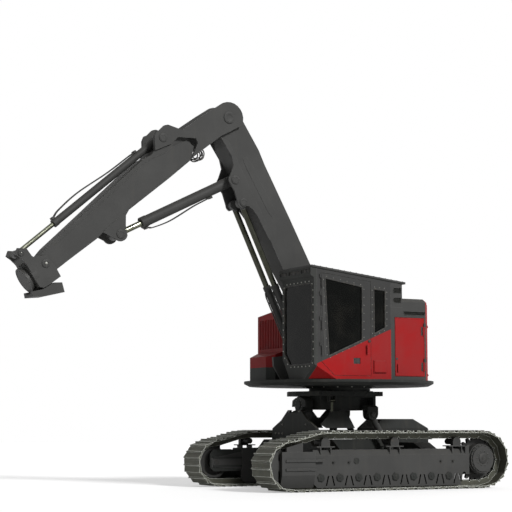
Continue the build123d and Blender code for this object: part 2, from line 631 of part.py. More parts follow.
def turntable():
    """Plate with a nose, the arched box round the roll beam and the bearing's lower ring."""
    shape = slab_z([(PLATE_REAR, -PLATE_HALF_W), (PLATE_FRONT, -PLATE_HALF_W),
                    (PLATE_NOSE, -PLATE_NOSE_HALF_W), (PLATE_NOSE, PLATE_NOSE_HALF_W),
                    (PLATE_FRONT, PLATE_HALF_W), (PLATE_REAR, PLATE_HALF_W)], PLATE_BOTTOM, PLATE_TOP)
    box = block((BOX_REAR, BOX_FRONT), (-BOX_HALF_W, BOX_HALF_W), (BOX_BOTTOM, PLATE_BOTTOM + 5))
    box -= block((BOX_REAR + BOX_WALL, BOX_FRONT - BOX_WALL),
                 (-BOX_HALF_W + BOX_WALL, BOX_HALF_W - BOX_WALL), (BOX_BOTTOM - 1, PLATE_BOTTOM - 1))
    arch = [(ARM_X[0] - 32, BOX_BOTTOM - 1), (ARM_X[0] - 28, ARCH_TOP - 25), (ARM_X[0] - 12, ARCH_TOP),
            (ARM_X[1] + 12, ARCH_TOP), (ARM_X[1] + 40, ARCH_TOP - 25), (ARM_X[1] + 50, BOX_BOTTOM - 1)]
    box -= slab_y(arch, -BOX_HALF_W - 1, BOX_HALF_W + 1)
    shape += box
    shape -= rod((BOX_REAR - 1, 0, ROLL_Z), (BOX_FRONT + 1, 0, ROLL_Z), ROLL_SHAFT_R + RUNNING)
    shape += pin_z((0, 0), LOWER_RING_R, PLATE_TOP - 1, SWING_SEAT_Z - CLEAR)
    shape -= pin_z((0, 0), LOWER_RING_R - 120, PLATE_TOP + 1, SWING_SEAT_Z + 1)
    # upper lugs of the roll cylinders
    near, far = ROLL_EYE_HALF + EYE_SIDE, ROLL_EYE_HALF + EYE_SIDE + ROLL_LUG_THICK
    for side in (1, -1):
        centre = side * ROLL_CYL_Y
        lug = [(centre - 34, ROLL_CYL_TOP_Z - 34), (centre + 34, ROLL_CYL_TOP_Z - 34),
               (centre + 45, PLATE_BOTTOM + 2), (centre - 45, PLATE_BOTTOM + 2)]
        for x in (-1, 1):
            ends = sorted((ROLL_CYL_X + x * near, ROLL_CYL_X + x * far))
            shape += slab_x(lug, *ends)
            ends = sorted((ROLL_CYL_X + x * (near + 1), ROLL_CYL_X + x * (far + 9)))
            shape += rod((ends[0], centre, ROLL_CYL_TOP_Z), (ends[1], centre, ROLL_CYL_TOP_Z), ROLL_PIN_R)
    return shape


# name: base pin, rod pin, y places, barrel (length, r), rod (inner end, r), eye (r, half width), pin r
CYLINDERS = {
    "pitch_cylinder": (PITCH_CYL_TOP, PITCH_CYL_LUG, (PITCH_CYL_Y, -PITCH_CYL_Y),
                       (PITCH_BARREL_L, PITCH_CYL_R), (PITCH_ROD_IN, PITCH_ROD_R),
                       (PITCH_EYE_R, PITCH_EYE_HALF), PITCH_PIN_SMALL_R),
    "boom_cylinder": (BOOM_CYL_BASE, BOOM_CYL_PIN, (BOOM_CYL_Y, -BOOM_CYL_Y),
                      (BOOM_BARREL_L, BOOM_CYL_R), (BOOM_ROD_IN, BOOM_ROD_R), (EYE_R, 52.0), PIN_R),
    "stick_cylinder": (STICK_CYL_BASE, STICK_CYL_PIN, (0.0,),
                       (STICK_BARREL_L, STICK_CYL_R), (STICK_ROD_IN, STICK_ROD_R), (EYE_R, 80.0), PIN_R),
    "tool_cylinder": (TOOL_CYL_BASE, TOOL_CYL_PIN, (0.0,),
                      (TOOL_BARREL_L, TOOL_CYL_R), (TOOL_ROD_IN, TOOL_ROD_R), (EYE_R - 12, 60.0), PIN_R),
}


def cylinder(name):
    """Barrels with their eyes and glands, and rods with theirs, at the closed pose's rest length."""
    base, pin, places, (length, radius), (inside, rod_r), (eye_r, eye_half), pin_r = CYLINDERS[name]

    def bar(low, high, r, y):
        a, b = toward(base, pin, low), toward(base, pin, high)
        return rod((a[0], y, a[1]), (b[0], y, b[1]), r)

    barrels, rods = [], []
    for y in places:
        barrel = bar(pin_r, length, radius, y) + bar(length - 1.2 * radius, length, radius * 1.08, y)
        barrel += pin_y(base, eye_r, y - eye_half, y + eye_half)
        barrel -= pin_y(base, pin_r + RUNNING, y - 2 * radius, y + 2 * radius)
        barrels.append(barrel - bar(pin_r + 34, length + 1, rod_r + SLIDE, y))
        rods.append(bar(inside, math.dist(base, pin), rod_r, y)
                    + pin_y(pin, min(eye_r * 0.9, rod_r * 1.7), y - eye_half, y + eye_half))
    return together(*barrels), together(*rods)


def roll_cylinder(y):
    """Barrel and rod of one upright roll cylinder."""
    x, low, high = ROLL_CYL_X, ROLL_CYL_BASE_Z, ROLL_CYL_TOP_Z
    barrel = pin_z((x, y), ROLL_CYL_R, low + ROLL_PIN_R, low + ROLL_BARREL_L)
    barrel += rod((x - ROLL_EYE_HALF, y, low), (x + ROLL_EYE_HALF, y, low), ROLL_EYE_R)
    barrel -= rod((x - 60, y, low), (x + 60, y, low), ROLL_PIN_R + RUNNING)
    barrel -= pin_z((x, y), ROLL_ROD_R + SLIDE, low + ROLL_PIN_R + 18, low + ROLL_BARREL_L + 1)
    piston = pin_z((x, y), ROLL_ROD_R, high - ROLL_ROD_L, high)
    piston += rod((x - ROLL_EYE_HALF, y, high), (x + ROLL_EYE_HALF, y, high), ROLL_EYE_R)
    return barrel, piston


# ---------------------------------------------------------------- upper body
def deck():
    """Round deck plate over the bearing's upper ring."""
    shape = pin_z((DECK_X, 0), DECK_R, DECK_RIM_Z, DECK_TOP)
    shape += Pos(DECK_X, 0, DECK_BOTTOM) * Cone(DECK_R - DECK_BEVEL, DECK_R, DECK_RIM_Z - DECK_BOTTOM,
                                                align=(Align.CENTER, Align.CENTER, Align.MIN))
    ring = Pos(0, 0, SWING_SEAT_Z) * Cone(
        UPPER_RING_R - 70, UPPER_RING_R, DECK_BOTTOM - SWING_SEAT_Z + 1,
        align=(Align.CENTER, Align.CENTER, Align.MIN))
    return shape + ring


def boom_tower():
    """Two plates that carry the boom's foot and the bases of the boom cylinders."""
    plate = [(-290, DECK_TOP + CLEAR), (980, DECK_TOP + CLEAR), (1140, DECK_TOP + 255),
             (1150, DECK_TOP + 405), (860, DECK_TOP + 435), (420, FOOT[1] + 50), (230, FOOT[1] + 160)]
    plate += arc_points(FOOT, FOOT_PLATE_R, 60, 170, 6) + [(-290, FOOT[1] - 130)]
    base = (DECK_TOP + CLEAR, DECK_TOP + 40)
    shape = block((-250, 900), (-TOWER_IN_Y - 2, TOWER_IN_Y + 2), base)
    shape += block((-280, -240), (-TOWER_IN_Y - 2, TOWER_IN_Y + 2), (DECK_TOP + CLEAR, DECK_TOP + 365))
    shape += block((380, 410), (-TOWER_IN_Y - 2, TOWER_IN_Y + 2), (DECK_TOP + 30, DECK_TOP + 155))
    for side in (1, -1):
        shape += slab_y(plate, *sorted((side * TOWER_IN_Y, side * (TOWER_IN_Y + TOWER_T))))
    outside = TOWER_IN_Y + TOWER_T + 8
    shape += pin_y(FOOT, FOOT_PIN_R, -outside, outside)
    return shape + pin_y(BOOM_CYL_BASE, PIN_R, -outside, outside)


def roof_line(x, drop=0.0):
    """Height of the sloping roof's underside at x, less drop."""
    return along(((CAB_FRONT_X, ROOF_FRONT_Z - ROOF_T), (ROOF_REAR_X, ROOF_REAR_Z - ROOF_T)), x) - drop


MAIN_WINDOW = [(1068, 3392), (363, 3277), (371, 2409), (1001, 2137)]
REAR_WINDOW = [(148, 3253), (-75, 3234), (-70, 2618), (146, 2514)]
DOOR_FRONT_X = 1150.0
DOOR_BOTTOM_Z = 1830.0
CAB_HINGES_Z = (2150, 2560, 2960, 3240)
CAB_HINGE_LENGTH = 150
CAB_HINGE_X = DOOR_FRONT_X - 16
SIDE_HINGES_Z = (ENGINE_DOOR_Z[0] + 96, ENGINE_DOOR_Z[1] - 290)
SIDE_HINGE_LENGTH = 140
SIDE_HINGE_X = ENGINE_DOOR_X[0] + 18


def door_outline(gap):
    """The door's edge, moved in by gap: the lower front corner follows the cab's cut corner."""
    x0, x1 = DOOR_REAR_X + gap, DOOR_FRONT_X - gap
    low = DOOR_BOTTOM_Z + gap
    # level near the hinges, so that the turning door stays under the opening's upper edge
    level_x = 1058.0
    return [(x0, low), (900 - gap, low), (x1, 2060 + gap), (x1, roof_line(level_x, 60 + gap)),
            (level_x, roof_line(level_x, 60 + gap)), (x0, roof_line(x0, 60 + gap))]


def corner_cutter():
    """What the cut lower front corner takes off the cab's left side."""
    tip = (CAB_FRONT_X + 2, SIDE_Y + 2, 2010.0)
    a, b = (1134.0, 1127.0, 1773.0), (858.0, SIDE_Y + 2, 1773.0)
    front = (CAB_FRONT_X + 2, 1015.0, 1773.0)
    far = (CAB_FRONT_X + 2, SIDE_Y + 2, 1773.0)
    corners = [Vector(*p) for p in (a, b, tip, front, far)]
    pa, pb, pt, pf, pz = corners

    def tri(*points):
        return Face(Wire.make_polygon(points, close=True))

    faces = [tri(pa, pt, pb), tri(pf, pt, pa), tri(pb, pt, pz), tri(pf, pz, pt), tri(pf, pa, pb, pz)]
    return Solid(Shell(faces))


def corner_plates():
    """Plates behind the two sloping faces of the cut corner, inside the front wall."""
    skin = 12.0
    shell = Pos(-skin, -skin, skin) * corner_cutter() - corner_cutter()
    inside = block((800, CAB_FRONT_X - CAB_WALL - CLEAR), (900, SIDE_Y), (DECK_TOP + CLEAR, 2060))
    return shell & inside


def knuckle(x, y, z, toward_x, out):
    """Fixed half of a hinge: a barrel on the door's hinge line and its leaf on the wall beside it.
    y is the wall's face, toward_x the side on which the leaf is, out the hinge line's distance."""
    z += CLEAR
    shape = pin_z((x, y + out), HINGE_R, z, z + HINGE_LEAF)
    shape += block(sorted((x, x + 38 * toward_x)), (y + out - 8, y + out + 4), (z, z + HINGE_LEAF))
    return shape + block(sorted((x + 22 * toward_x, x + 38 * toward_x)), (y - 1, y + out + 4),
                         (z, z + HINGE_LEAF))


def cab_left_wall():
    """Left wall with the door's opening, the rear side window and the fixed halves of the hinges."""
    x_high = CAB_FRONT_X - CAB_WALL - CLEAR
    z_low = DECK_TOP + CLEAR
    wall = slab_y([(BULKHEAD_X + CLEAR, z_low), (x_high, z_low), (x_high, roof_line(x_high, CLEAR)),
                   (BULKHEAD_X + CLEAR, roof_line(BULKHEAD_X + CLEAR, CLEAR))],
                  SIDE_Y - CAB_WALL, SIDE_Y)
    wall -= slab_y(door_outline(0), SIDE_Y - CAB_WALL - 1, SIDE_Y + 1)
    wall -= slab_y(REAR_WINDOW, SIDE_Y - CAB_WALL - 1, SIDE_Y + 1)
    # shallow box behind the door, with bevelled edges
    cover = block((-75, 165), (SIDE_Y - 10, SIDE_Y + 26), (1880, 2088))
    wall += chamfer(cover.faces().sort_by(Axis.Y)[-1].edges(), 14)
    for z in CAB_HINGES_Z:
        wall += knuckle(CAB_HINGE_X, SIDE_Y, z + CAB_HINGE_LENGTH, 1, HINGE_OUT)
    return wall - corner_cutter() + corner_plates()


def cab_front():
    """Front frame with the opening of the front window, cut away at its lower right corner."""
    top = roof_line(CAB_FRONT_X - CAB_WALL, CLEAR)
    wall = slab_x([(CAB_IN_Y + 250, DECK_TOP + CLEAR), (SIDE_Y, DECK_TOP + CLEAR), (SIDE_Y, top),
                   (CAB_IN_Y, top), (CAB_IN_Y, 2120)], CAB_FRONT_X - CAB_WALL, CAB_FRONT_X)
    wall -= slab_x(FRONT_WINDOW, CAB_FRONT_X - CAB_WALL - 1, CAB_FRONT_X + 1)
    # visor with the recesses of the work lights
    visor_top = roof_line(1330, CLEAR + 1)
    visor = slab_y([(CAB_FRONT_X - 2, roof_line(CAB_FRONT_X, CLEAR)), (1312, roof_line(1312, CLEAR)),
                    (1330, visor_top - 4), (1330, 3432), (CAB_FRONT_X - 2, 3396)], CAB_IN_Y, SIDE_Y)
    for low, high in ((330, 565), (622, 975), (1030, 1325)):
        visor -= block((1308, 1340), (low, high), (3474, 3534))
    return wall + visor - corner_cutter()


FRONT_WINDOW = [(CAB_IN_Y + 240, 2010), (SIDE_Y - 110, 2010), (SIDE_Y - 60, 2080), (SIDE_Y - 60, 3240),
                (SIDE_Y - 110, 3310), (CAB_IN_Y + 110, 3310), (CAB_IN_Y + 60, 3240),
                (CAB_IN_Y + 60, 2200)]
RIGHT_WINDOW = [(120, 2500), (1120, 2300), (1120, 3320), (120, 3220)]


def cab_right_wall():
    x_high = CAB_FRONT_X - CAB_WALL - CLEAR
    z_low = DECK_TOP + CLEAR
    wall = slab_y([(BULKHEAD_X + CLEAR, z_low), (1020, z_low), (x_high, 2120),
                   (x_high, roof_line(x_high, CLEAR)),
                   (BULKHEAD_X + CLEAR, roof_line(BULKHEAD_X + CLEAR, CLEAR))],
                  CAB_IN_Y, CAB_IN_Y + CAB_WALL)
    return wall - slab_y(RIGHT_WINDOW, CAB_IN_Y - 1, CAB_IN_Y + CAB_WALL + 1)


def cab_rear_wall():
    y_low, y_high = CAB_IN_Y + CAB_WALL + CLEAR, SIDE_Y - CAB_WALL - CLEAR
    top = roof_line(BULKHEAD_X + CAB_WALL, CLEAR + 6)
    wall = slab_x([(y_low, DECK_TOP + CLEAR), (y_high, DECK_TOP + CLEAR), (y_high, top), (y_low, top)],
                  BULKHEAD_X + CLEAR, BULKHEAD_X + CAB_WALL)
    return wall


def cab_floor():
    x_low, x_high = BULKHEAD_X + CAB_WALL + CLEAR, CAB_FRONT_X - CAB_WALL - CLEAR
    y_low, y_high = CAB_IN_Y + CAB_WALL + CLEAR, SIDE_Y - CAB_WALL - CLEAR
    floor = slab_z([(x_low, y_low), (1000, y_low), (x_high, CAB_IN_Y + 270), (x_high, 1000),
                    (1020, 1160), (860, y_high), (x_low, y_high)],
                   DECK_TOP + CLEAR, DECK_TOP + CAB_FLOOR_T)
    return floor


def cab_roof():
    """Sloping roof plate and the louvred box behind the cab."""
    front_x, rear_x = 1316.0, ROOF_REAR_X
    line = ((CAB_FRONT_X, ROOF_FRONT_Z), (ROOF_REAR_X, ROOF_REAR_Z))
    plate = slab_y([(rear_x, along(line, rear_x) - ROOF_T), (front_x, along(line, front_x) - ROOF_T),
                    (front_x, along(line, front_x)), (rear_x, along(line, rear_x))],
                   CAB_IN_Y - 10, SIDE_Y + 12)
    # box behind the cab, up to the roof, with two intake louvres in its side
    front = BULKHEAD_X - CLEAR
    for base, low_y in ((HOUSING_TOP, CAB_IN_Y), (VENT_BASE_Z, VENT_IN_Y)):
        vent = slab_y([(VENT_REAR_X, base + CLEAR), (front, base + CLEAR),
                       (front, along(line, front) - ROOF_T + 2),
                       (VENT_REAR_X, along(line, VENT_REAR_X) - ROOF_T + 2)], low_y, SIDE_Y)
        plate += vent
    for z in (3038, 3198):
        plate -= slab_y([(-378, z), (-245, z), (-226, z + 26), (-226, z + 62), (-245, z + 88),
                         (-378, z + 88)], SIDE_Y - 26, SIDE_Y + 1)
    hatch = slab_y([(300, along(line, 300) - 1), (900, along(line, 900) - 1),
                    (880, along(line, 880) + 40), (320, along(line, 320) + 40)], 520, 1130)
    return plate + hatch


def inset(points, distance):
    """The same convex outline, every side moved in by that distance."""
    centre = [sum(p[i] for p in points) / len(points) for i in (0, 1)]
    lines = []
    for (x0, z0), (x1, z1) in zip(points, points[1:] + points[:1]):
        length = math.dist((x0, z0), (x1, z1))
        nx, nz = (z0 - z1) / length, (x1 - x0) / length
        if nx * (centre[0] - x0) + nz * (centre[1] - z0) < 0:
            nx, nz = -nx, -nz
        lines.append((nx, nz, nx * x0 + nz * z0 + distance))
    corners = []
    for (a, b, c), (d, e, f) in zip(lines[-1:] + lines[:-1], lines):
        det = a * e - b * d
        corners.append(((c * e - b * f) / det, (a * f - c * d) / det))
    return corners


def pane(points, plane_pos, axis, thickness=GLASS_T):
    """A window pane that fits its opening with the seal's clearance."""
    inner = inset(points, CLEAR)
    if axis == "y":
        return slab_y(inner, plane_pos, plane_pos + thickness)
    return slab_x(inner, plane_pos, plane_pos + thickness)


def cab_windows():
    mid = (CAB_WALL - GLASS_T) / 2
    return together(pane(FRONT_WINDOW, CAB_FRONT_X - CAB_WALL + mid, "x"),
                    pane(REAR_WINDOW, SIDE_Y - CAB_WALL + mid, "y"),
                    pane(RIGHT_WINDOW, CAB_IN_Y + mid, "y"))


def cab_door():
    shape = slab_y(door_outline(DOOR_GAP), SIDE_Y - CAB_WALL + 2, SIDE_Y)
    shape -= slab_y(MAIN_WINDOW, SIDE_Y - CAB_WALL - 1, SIDE_Y + 1)
    shape -= corner_cutter()
    # turning halves of the hinges on the front edge, recess and handle at the rear
    for z in CAB_HINGES_Z:
        shape += pin_z((CAB_HINGE_X, SIDE_Y + HINGE_OUT), HINGE_R, z, z + CAB_HINGE_LENGTH)
        shape += block((CAB_HINGE_X - 26, CAB_HINGE_X), (SIDE_Y - 1, SIDE_Y + HINGE_OUT + 4),
                       (z, z + CAB_HINGE_LENGTH))
    shape -= block((410, 538), (SIDE_Y - 16, SIDE_Y + 1), (2024, 2120))
    shape += block((270, 300), (SIDE_Y - 2, SIDE_Y + 42), (2190, 2330)) \
        - block((265, 305), (SIDE_Y, SIDE_Y + 28), (2210, 2310))
    return shape


def seat():
    """Operator's seat on its pedestal, with arm rests."""
    shape = block((250, 720), (600, 1080), (2200, 2330))
    shape = fillet(shape.edges().filter_by(Axis.Z), 60)
    back = slab_y([(230, 2300), (380, 2300), (250, 3020), (120, 3020)], 620, 1060)
    shape += back
    shape += block((330, 640), (690, 990), (DECK_TOP + CAB_FLOOR_T + CLEAR, 2205))
    for y in (520, 1080):
        shape += block((330, 720), (y, y + 70), (2450, 2510))
        shape += block((340, 400), (min(y + 10, 600) if y < 600 else y - 4, y + 60 if y > 600 else 604),
                       (2240, 2455))
    return shape


def console():
    """Front console with the screen, and two pedals' plate."""
    z = DECK_TOP + CAB_FLOOR_T + CLEAR
    shape = slab_y([(760, z), (860, z), (900, 2240), (980, 2480), (930, 2500), (840, 2270)], 400, 520)
    shape += block((860, 890), (395, 700), (2520, 2740))
    shape += block((855, 930), (400, 520), (2460, 2525))
    return shape


def footprint(x_front, inset=0.0):
    """The engine housing's plan: straight sides, cut corners, round tail."""
    side, tail = SIDE_Y - inset, TAIL_R - inset
    start = math.degrees(math.asin((side - 250) / tail))
    points = [(x_front, side), (SIDE_REAR_X + inset * 0.4, side), (SIDE_REAR_X - 60 + inset * 0.9, side - 55)]
    points += arc_points((0, 0), tail, 180 - start, 180 + start, 12)
    points += [(x, -y) for x, y in reversed(points[:3])]
    return points


def engine_housing():
    """Housing of the engine: straight sides with door openings, round tail, rounded top edges."""
    z_low = DECK_TOP + CLEAR
    x_front = BULKHEAD_X - CLEAR
    shape = slab_z(footprint(x_front), z_low, HOUSING_TOP)
    top_edges = shape.faces().sort_by(Axis.Z)[-1].edges()
    outer_edges = [e for e in top_edges if e.center().X < x_front - 5]
    shape = chamfer(outer_edges, SHOULDER)
    # the bay inside, open below to the deck
    shape -= slab_z(footprint(x_front - HOUSING_WALL, HOUSING_WALL), z_low - 1,
                    HOUSING_TOP - HOUSING_WALL - SHOULDER)
    # slot of the boom, with its own walls
    slot = block((SLOT_REAR_X - HOUSING_WALL, x_front), (SLOT_RIGHT_Y - HOUSING_WALL,
                                                         SLOT_LEFT_Y + HOUSING_WALL),
                 (z_low, HOUSING_TOP - 70))
    shape += slot
    shape -= block((SLOT_REAR_X, x_front + 1), (SLOT_RIGHT_Y, SLOT_LEFT_Y), (z_low - 1, HOUSING_TOP + 1))
    # room of the counterweight
    shape -= block((-TAIL_R - 1, COUNTERWEIGHT_X + CLEAR), (-SIDE_Y, SIDE_Y),
                   (z_low - 1, COUNTERWEIGHT_TOP + CLEAR))
    for low, high in ((SIDE_Y - HOUSING_WALL - 1, SIDE_Y + 1), (-SIDE_Y - 1, -SIDE_Y + HOUSING_WALL + 1)):
        shape -= block(ENGINE_DOOR_X, (low, high), ENGINE_DOOR_Z)
    # long intake slot over the left door, and the step that the box behind the cab stands in
    low = HOUSING_TOP - 278
    shape -= slab_y([(-835, low), (-460, low), (-429, low + 30), (-429, low + 64), (-853, low + 64),
                     (-853, low + 30)], SIDE_Y - 30, SIDE_Y + 1)
    shape -= block((VENT_REAR_X - CLEAR, x_front + 1), (VENT_IN_Y - CLEAR, SIDE_Y + 1),
                   (VENT_BASE_Z, HOUSING_TOP + 1))
    hinges = [knuckle(SIDE_HINGE_X, SIDE_Y, z + SIDE_HINGE_LENGTH, -1, PANEL_PROUD + HINGE_OUT)
              for z in SIDE_HINGES_Z]
    for hinge in hinges:
        shape += hinge
        shape += mirrored(hinge)
    return shape


def counterweight():
    """Solid tail below the engine housing."""
    points = [p for p in footprint(BULKHEAD_X) if p[0] < COUNTERWEIGHT_X]
    side = points[0][1] + (COUNTERWEIGHT_X - points[0][0]) * 1.1
    points = [(COUNTERWEIGHT_X, side)] + points + [(COUNTERWEIGHT_X, -side)]
    return slab_z(points, DECK_TOP + CLEAR, COUNTERWEIGHT_TOP)


def side_door(side):
    """Door of the engine bay: left one with side = 1, right one with side = -1."""
    x_low, x_high = ENGINE_DOOR_X[0] + DOOR_GAP, ENGINE_DOOR_X[1] - DOOR_GAP
    z_low, z_high = ENGINE_DOOR_Z[0] + DOOR_GAP, ENGINE_DOOR_Z[1] - DOOR_GAP
    face = SIDE_Y + PANEL_PROUD
    shape = block((x_low, x_high), (SIDE_Y - PANEL_T, face), (z_low, z_high))
    for z in SIDE_HINGES_Z:
        shape += pin_z((SIDE_HINGE_X, face + HINGE_OUT), HINGE_R, z, z + SIDE_HINGE_LENGTH)
        shape += block((SIDE_HINGE_X, SIDE_HINGE_X + 26), (face - 1, face + HINGE_OUT + 4),
                       (z, z + SIDE_HINGE_LENGTH))
    shape += block((x_high - 60, x_high - 36), (face - 2, face + 26), (z_low + 70, z_low + 200))
    return shape if side > 0 else mirrored(shape)


def engine():
    return block((-900, -420), (-480, 1050), (DECK_TOP + CLEAR, 2600))


def right_hood():
    """Hood in front of the engine housing on the right: sloping crown, slatted front."""
    x_low, x_high = BULKHEAD_X + CLEAR, HOOD_RIGHT_FRONT_X
    y_low, y_high = -SIDE_Y, SLOT_RIGHT_Y
    z_low = DECK_TOP + CLEAR
    profile = [(y_low, z_low), (y_high, z_low), (y_high, HOOD_RIGHT_CROWN_Z), (y_high - 160, HOOD_RIGHT_CROWN_Z),
               (y_low, HOOD_RIGHT_SIDE_Z)]
    shape = slab_x(profile, x_low, x_high)
    count = 14
    width = (y_high - y_low - 130) / count
    for i in range(count):
        y = y_low + 65 + i * width
        shape -= block((x_high - 22, x_high + 1), (y + width * 0.3, y + width * 0.82), (2350, 2860))
    return shape


def right_front_box():
    """Low box in front of the right hood, with a sloping lid."""
    z_low = DECK_TOP + CLEAR
    x_low, x_high = HOOD_RIGHT_FRONT_X + CLEAR, BOX_RIGHT_FRONT_X
    half = math.sqrt(DECK_R ** 2 - x_high ** 2) - 8
    plan = [(x_low, -min(SIDE_Y, 1340)), (x_high, -half), (x_high, -560), (x_high - 110, SLOT_RIGHT_Y - 40),
            (x_low, SLOT_RIGHT_Y - 40)]
    shape = slab_z(plan, z_low, 2290)
    # the lid falls from the hood to the front edge
    shape -= slab_y([(x_low - 1, 2290), (x_high + 1, BOX_RIGHT_TOP_Z), (x_high + 1, 2400), (x_low - 1, 2400)],
                    -1400, 0)
    return shape


# ---------------------------------------------------------------- boom
BOOM_TOP = [(2020, 6165), (1660, 5600), (1550, 5365), (1065, 4470), (690, 3756), (300, 3120),
            (20, 2800)]
BOOM_BOTTOM = [(240, 2330), (560, 2700), (880, 3100), (1210, 3640), (1610, 4430), (1850, 4890),
               (2280, 5610)]
BOOM_LUGS = [(1476, 4098), (1702, 4486), (1795, 4597), (1870, 4651)]


def boom():
    """Box beam with a neck, tip boss, and lug plates for the three cylinders."""
    outline = BOOM_BOTTOM + [(2420, 5990)] + arc_points(ELBOW, 190, -30, 115, 6) + BOOM_TOP
    outline += arc_points(FOOT, FOOT_R, 150, 320, 8)
    shape = slab_y(outline, -BOOM_HALF_W, BOOM_HALF_W)
    lugs = BOOM_LUGS + arc_points(BOOM_CYL_PIN, 100, -70, 0, 4)
    lugs += [(2130, 4891)] + arc_points(STICK_CYL_BASE, 120, -20, 40, 4)
    lugs += [(2149, 5307), (2187, 5463), (2298, 5629), (2381, 5755), (2240, 5700), (1900, 5060),
             (1430, 4180)]
    edge = BOOM_HALF_W + BOOM_LUG_T
    for low, high in ((BOOM_HALF_W - 1, edge), (-edge, -BOOM_HALF_W + 1)):
        shape += slab_y(lugs, low, high)
        # short pins that the rod eyes ride beside
        shape += pin_y(BOOM_CYL_PIN, PIN_R, *((low, high + 8) if low > 0 else (low - 8, high)))
    shape += pin_y(STICK_CYL_BASE, PIN_R, -edge - 8, edge + 8)
    shape += pin_y(ELBOW, ELBOW_PIN_R, -STICK_HALF_W - CHEEK_T - 12, STICK_HALF_W + CHEEK_T + 12)
    return shape - pin_y(FOOT, FOOT_PIN_R + RUNNING, -BOOM_HALF_W - 1, BOOM_HALF_W + 1)


# ---------------------------------------------------------------- stick
STICK_TOP = [(3578, 5432), (3639, 5346), (3761, 5279), (4018, 5040), (4689, 4394), (5340, 3776)]
STICK_BOTTOM = [(5237, 3400), (5010, 3583), (4550, 3945), (4442, 4062), (4012, 4439), (3320, 4997),
                (2930, 5330)]
STICK_LUGS = [(4012, 4439), (4063, 4348), (4064, 4188)]
STICK_EYE_FOLDED = (4212.0, 4176.0)
CHEEK_TOP = [(3578, 5432), (3589, 5659), (3555, 5744), (3502, 5765), (3414, 5855), (3361, 5868),
             (3219, 5832), (3103, 5801), (2879, 5971), (2608, 6163)]
CHEEK_BOTTOM = [(2405, 5765), (2930, 5355), (2823, 5612), (2860, 5691), (3182, 5679), (3300, 5560)]


def stick():
    """Tapered beam with two cheeks round the boom's tip, ears for the tool cylinder on top and
    for the stick cylinder's rod below."""
    half = STICK_HALF_W
    beam = [(2880, 5560), (3020, 5640), (3300, 5500)] + STICK_TOP
    beam += arc_points(WRIST, WRIST_BOSS_R, 55, -100, 6) + STICK_BOTTOM
    shape = slab_y(beam, -half, half)
    # the beam narrows towards the wrist
    for side in (1, -1):
        shape -= slab_z([(4300, side * (half + 1)), (5700, side * (half + 1)),
                         (5700, side * STICK_TIP_HALF_W), (5100, side * STICK_TIP_HALF_W),
                         (4300, side * half)], 3000, 5200)
    # web that closes the step under the cheeks
    inner = half - STICK_EAR_T + 1
    shape += slab_y([(2880, 5560), (2985, 5690), (3190, 5700), (3320, 5580), (3320, 5470), (3020, 5470)],
                    -inner, inner)
    cheek = CHEEK_BOTTOM + CHEEK_TOP + arc_points(ELBOW, ELBOW_R, 65, 205, 9)
    ears = [(3300, 5480)] + CHEEK_TOP[:7] + [(3180, 5690)]
    lugs = STICK_LUGS + arc_points(STICK_CYL_PIN, 118, 190, 325, 6) + [(4442, 4062)]
    for side in (1, -1):
        shape += slab_y(cheek, *sorted((side * (half - 1), side * (half + CHEEK_T))))
        shape += slab_y(ears, *sorted((side * (half - STICK_EAR_T), side * half)))
        shape += slab_y(lugs, *sorted((side * (half - STICK_EAR_T), side * half)))
        shape += pin_y(STICK_CYL_PIN, PIN_R, *sorted((side * (half - STICK_EAR_T), side * (half + 8))))
    shape -= pin_y(ELBOW, ELBOW_PIN_R + RUNNING, -half - CHEEK_T - 1, half + CHEEK_T + 1)
    shape += pin_y(TOOL_CYL_BASE, PIN_R, -half - CHEEK_T - 8, half + CHEEK_T + 8)
    # room for the tool cylinder's eye between its ears
    shape -= pin_y(TOOL_CYL_BASE, EYE_R + 8, -66, 66) - pin_y(TOOL_CYL_BASE, PIN_R, -66, 66)
    # room of the stick cylinder's rod eye, folded right in
    eye = CYLINDERS["stick_cylinder"][5]
    shape -= pin_y(STICK_EYE_FOLDED, eye[0] + 6, -eye[1] - 6, eye[1] + 6)
    return shape - pin_y(WRIST, PIN_R + RUNNING, -half - 1, half + 1)


# ---------------------------------------------------------------- wrist
def flange_place(distance):
    """(x, z) on the flange's axis, that far in front of its centre."""
    lean = math.radians(FLANGE_TILT)
    return (FLANGE_CENTRE[0] + distance * math.cos(lean), FLANGE_CENTRE[1] - distance * math.sin(lean))


def flange_disc(start, end, radius):
    a, b = flange_place(start), flange_place(end)
    return rod((a[0], 0, a[1]), (b[0], 0, b[1]), radius)


def wrist():
    """Bracket plates on the wrist pin, horn for the tool cylinder, back plate and heel."""
    side = [(5207, 3441), (5140, 3328), (5269, 3229), (5414, 3138), (5480, 3150), (5590, 3330),
            (5720, 3520), (5800, 3590), (5880, 3640), (5850, 3730), (5700, 3730), (5616, 3622),
            (5583, 3605), (5373, 3640)]
    shape = slab_y(side, BRACKET_IN_Y, BRACKET_IN_Y + BRACKET_T)
    shape += slab_y(side, -BRACKET_IN_Y - BRACKET_T, -BRACKET_IN_Y)
    shape += pin_y(WRIST, PIN_R, -BRACKET_IN_Y - BRACKET_T - 10, BRACKET_IN_Y + BRACKET_T + 10)
    # ring that carries the flange, heel under it
    reach = BRACKET_IN_Y + 2
    shape += flange_disc(-60, 30, FLANGE_RING_R)
    shape += slab_y([(5587, 3077), (5570, 3000), (5344, 3020), (5058, 3090), (5102, 3240), (5233, 3232),
                     (5414, 3120)], -reach, reach)
    shape -= flange_disc(30, 260, FLANGE_R + 12)
    # room of the stick's tip
    shape -= pin_y(WRIST, 150, -BRACKET_IN_Y, BRACKET_IN_Y) - pin_y(WRIST, PIN_R, -BRACKET_IN_Y,
                                                                     BRACKET_IN_Y)
    for y in (-1, 1):
        shape += pin_y(TOOL_CYL_PIN, 40, *sorted((y * 190, y * (BRACKET_IN_Y + BRACKET_T + 10))))
    return shape


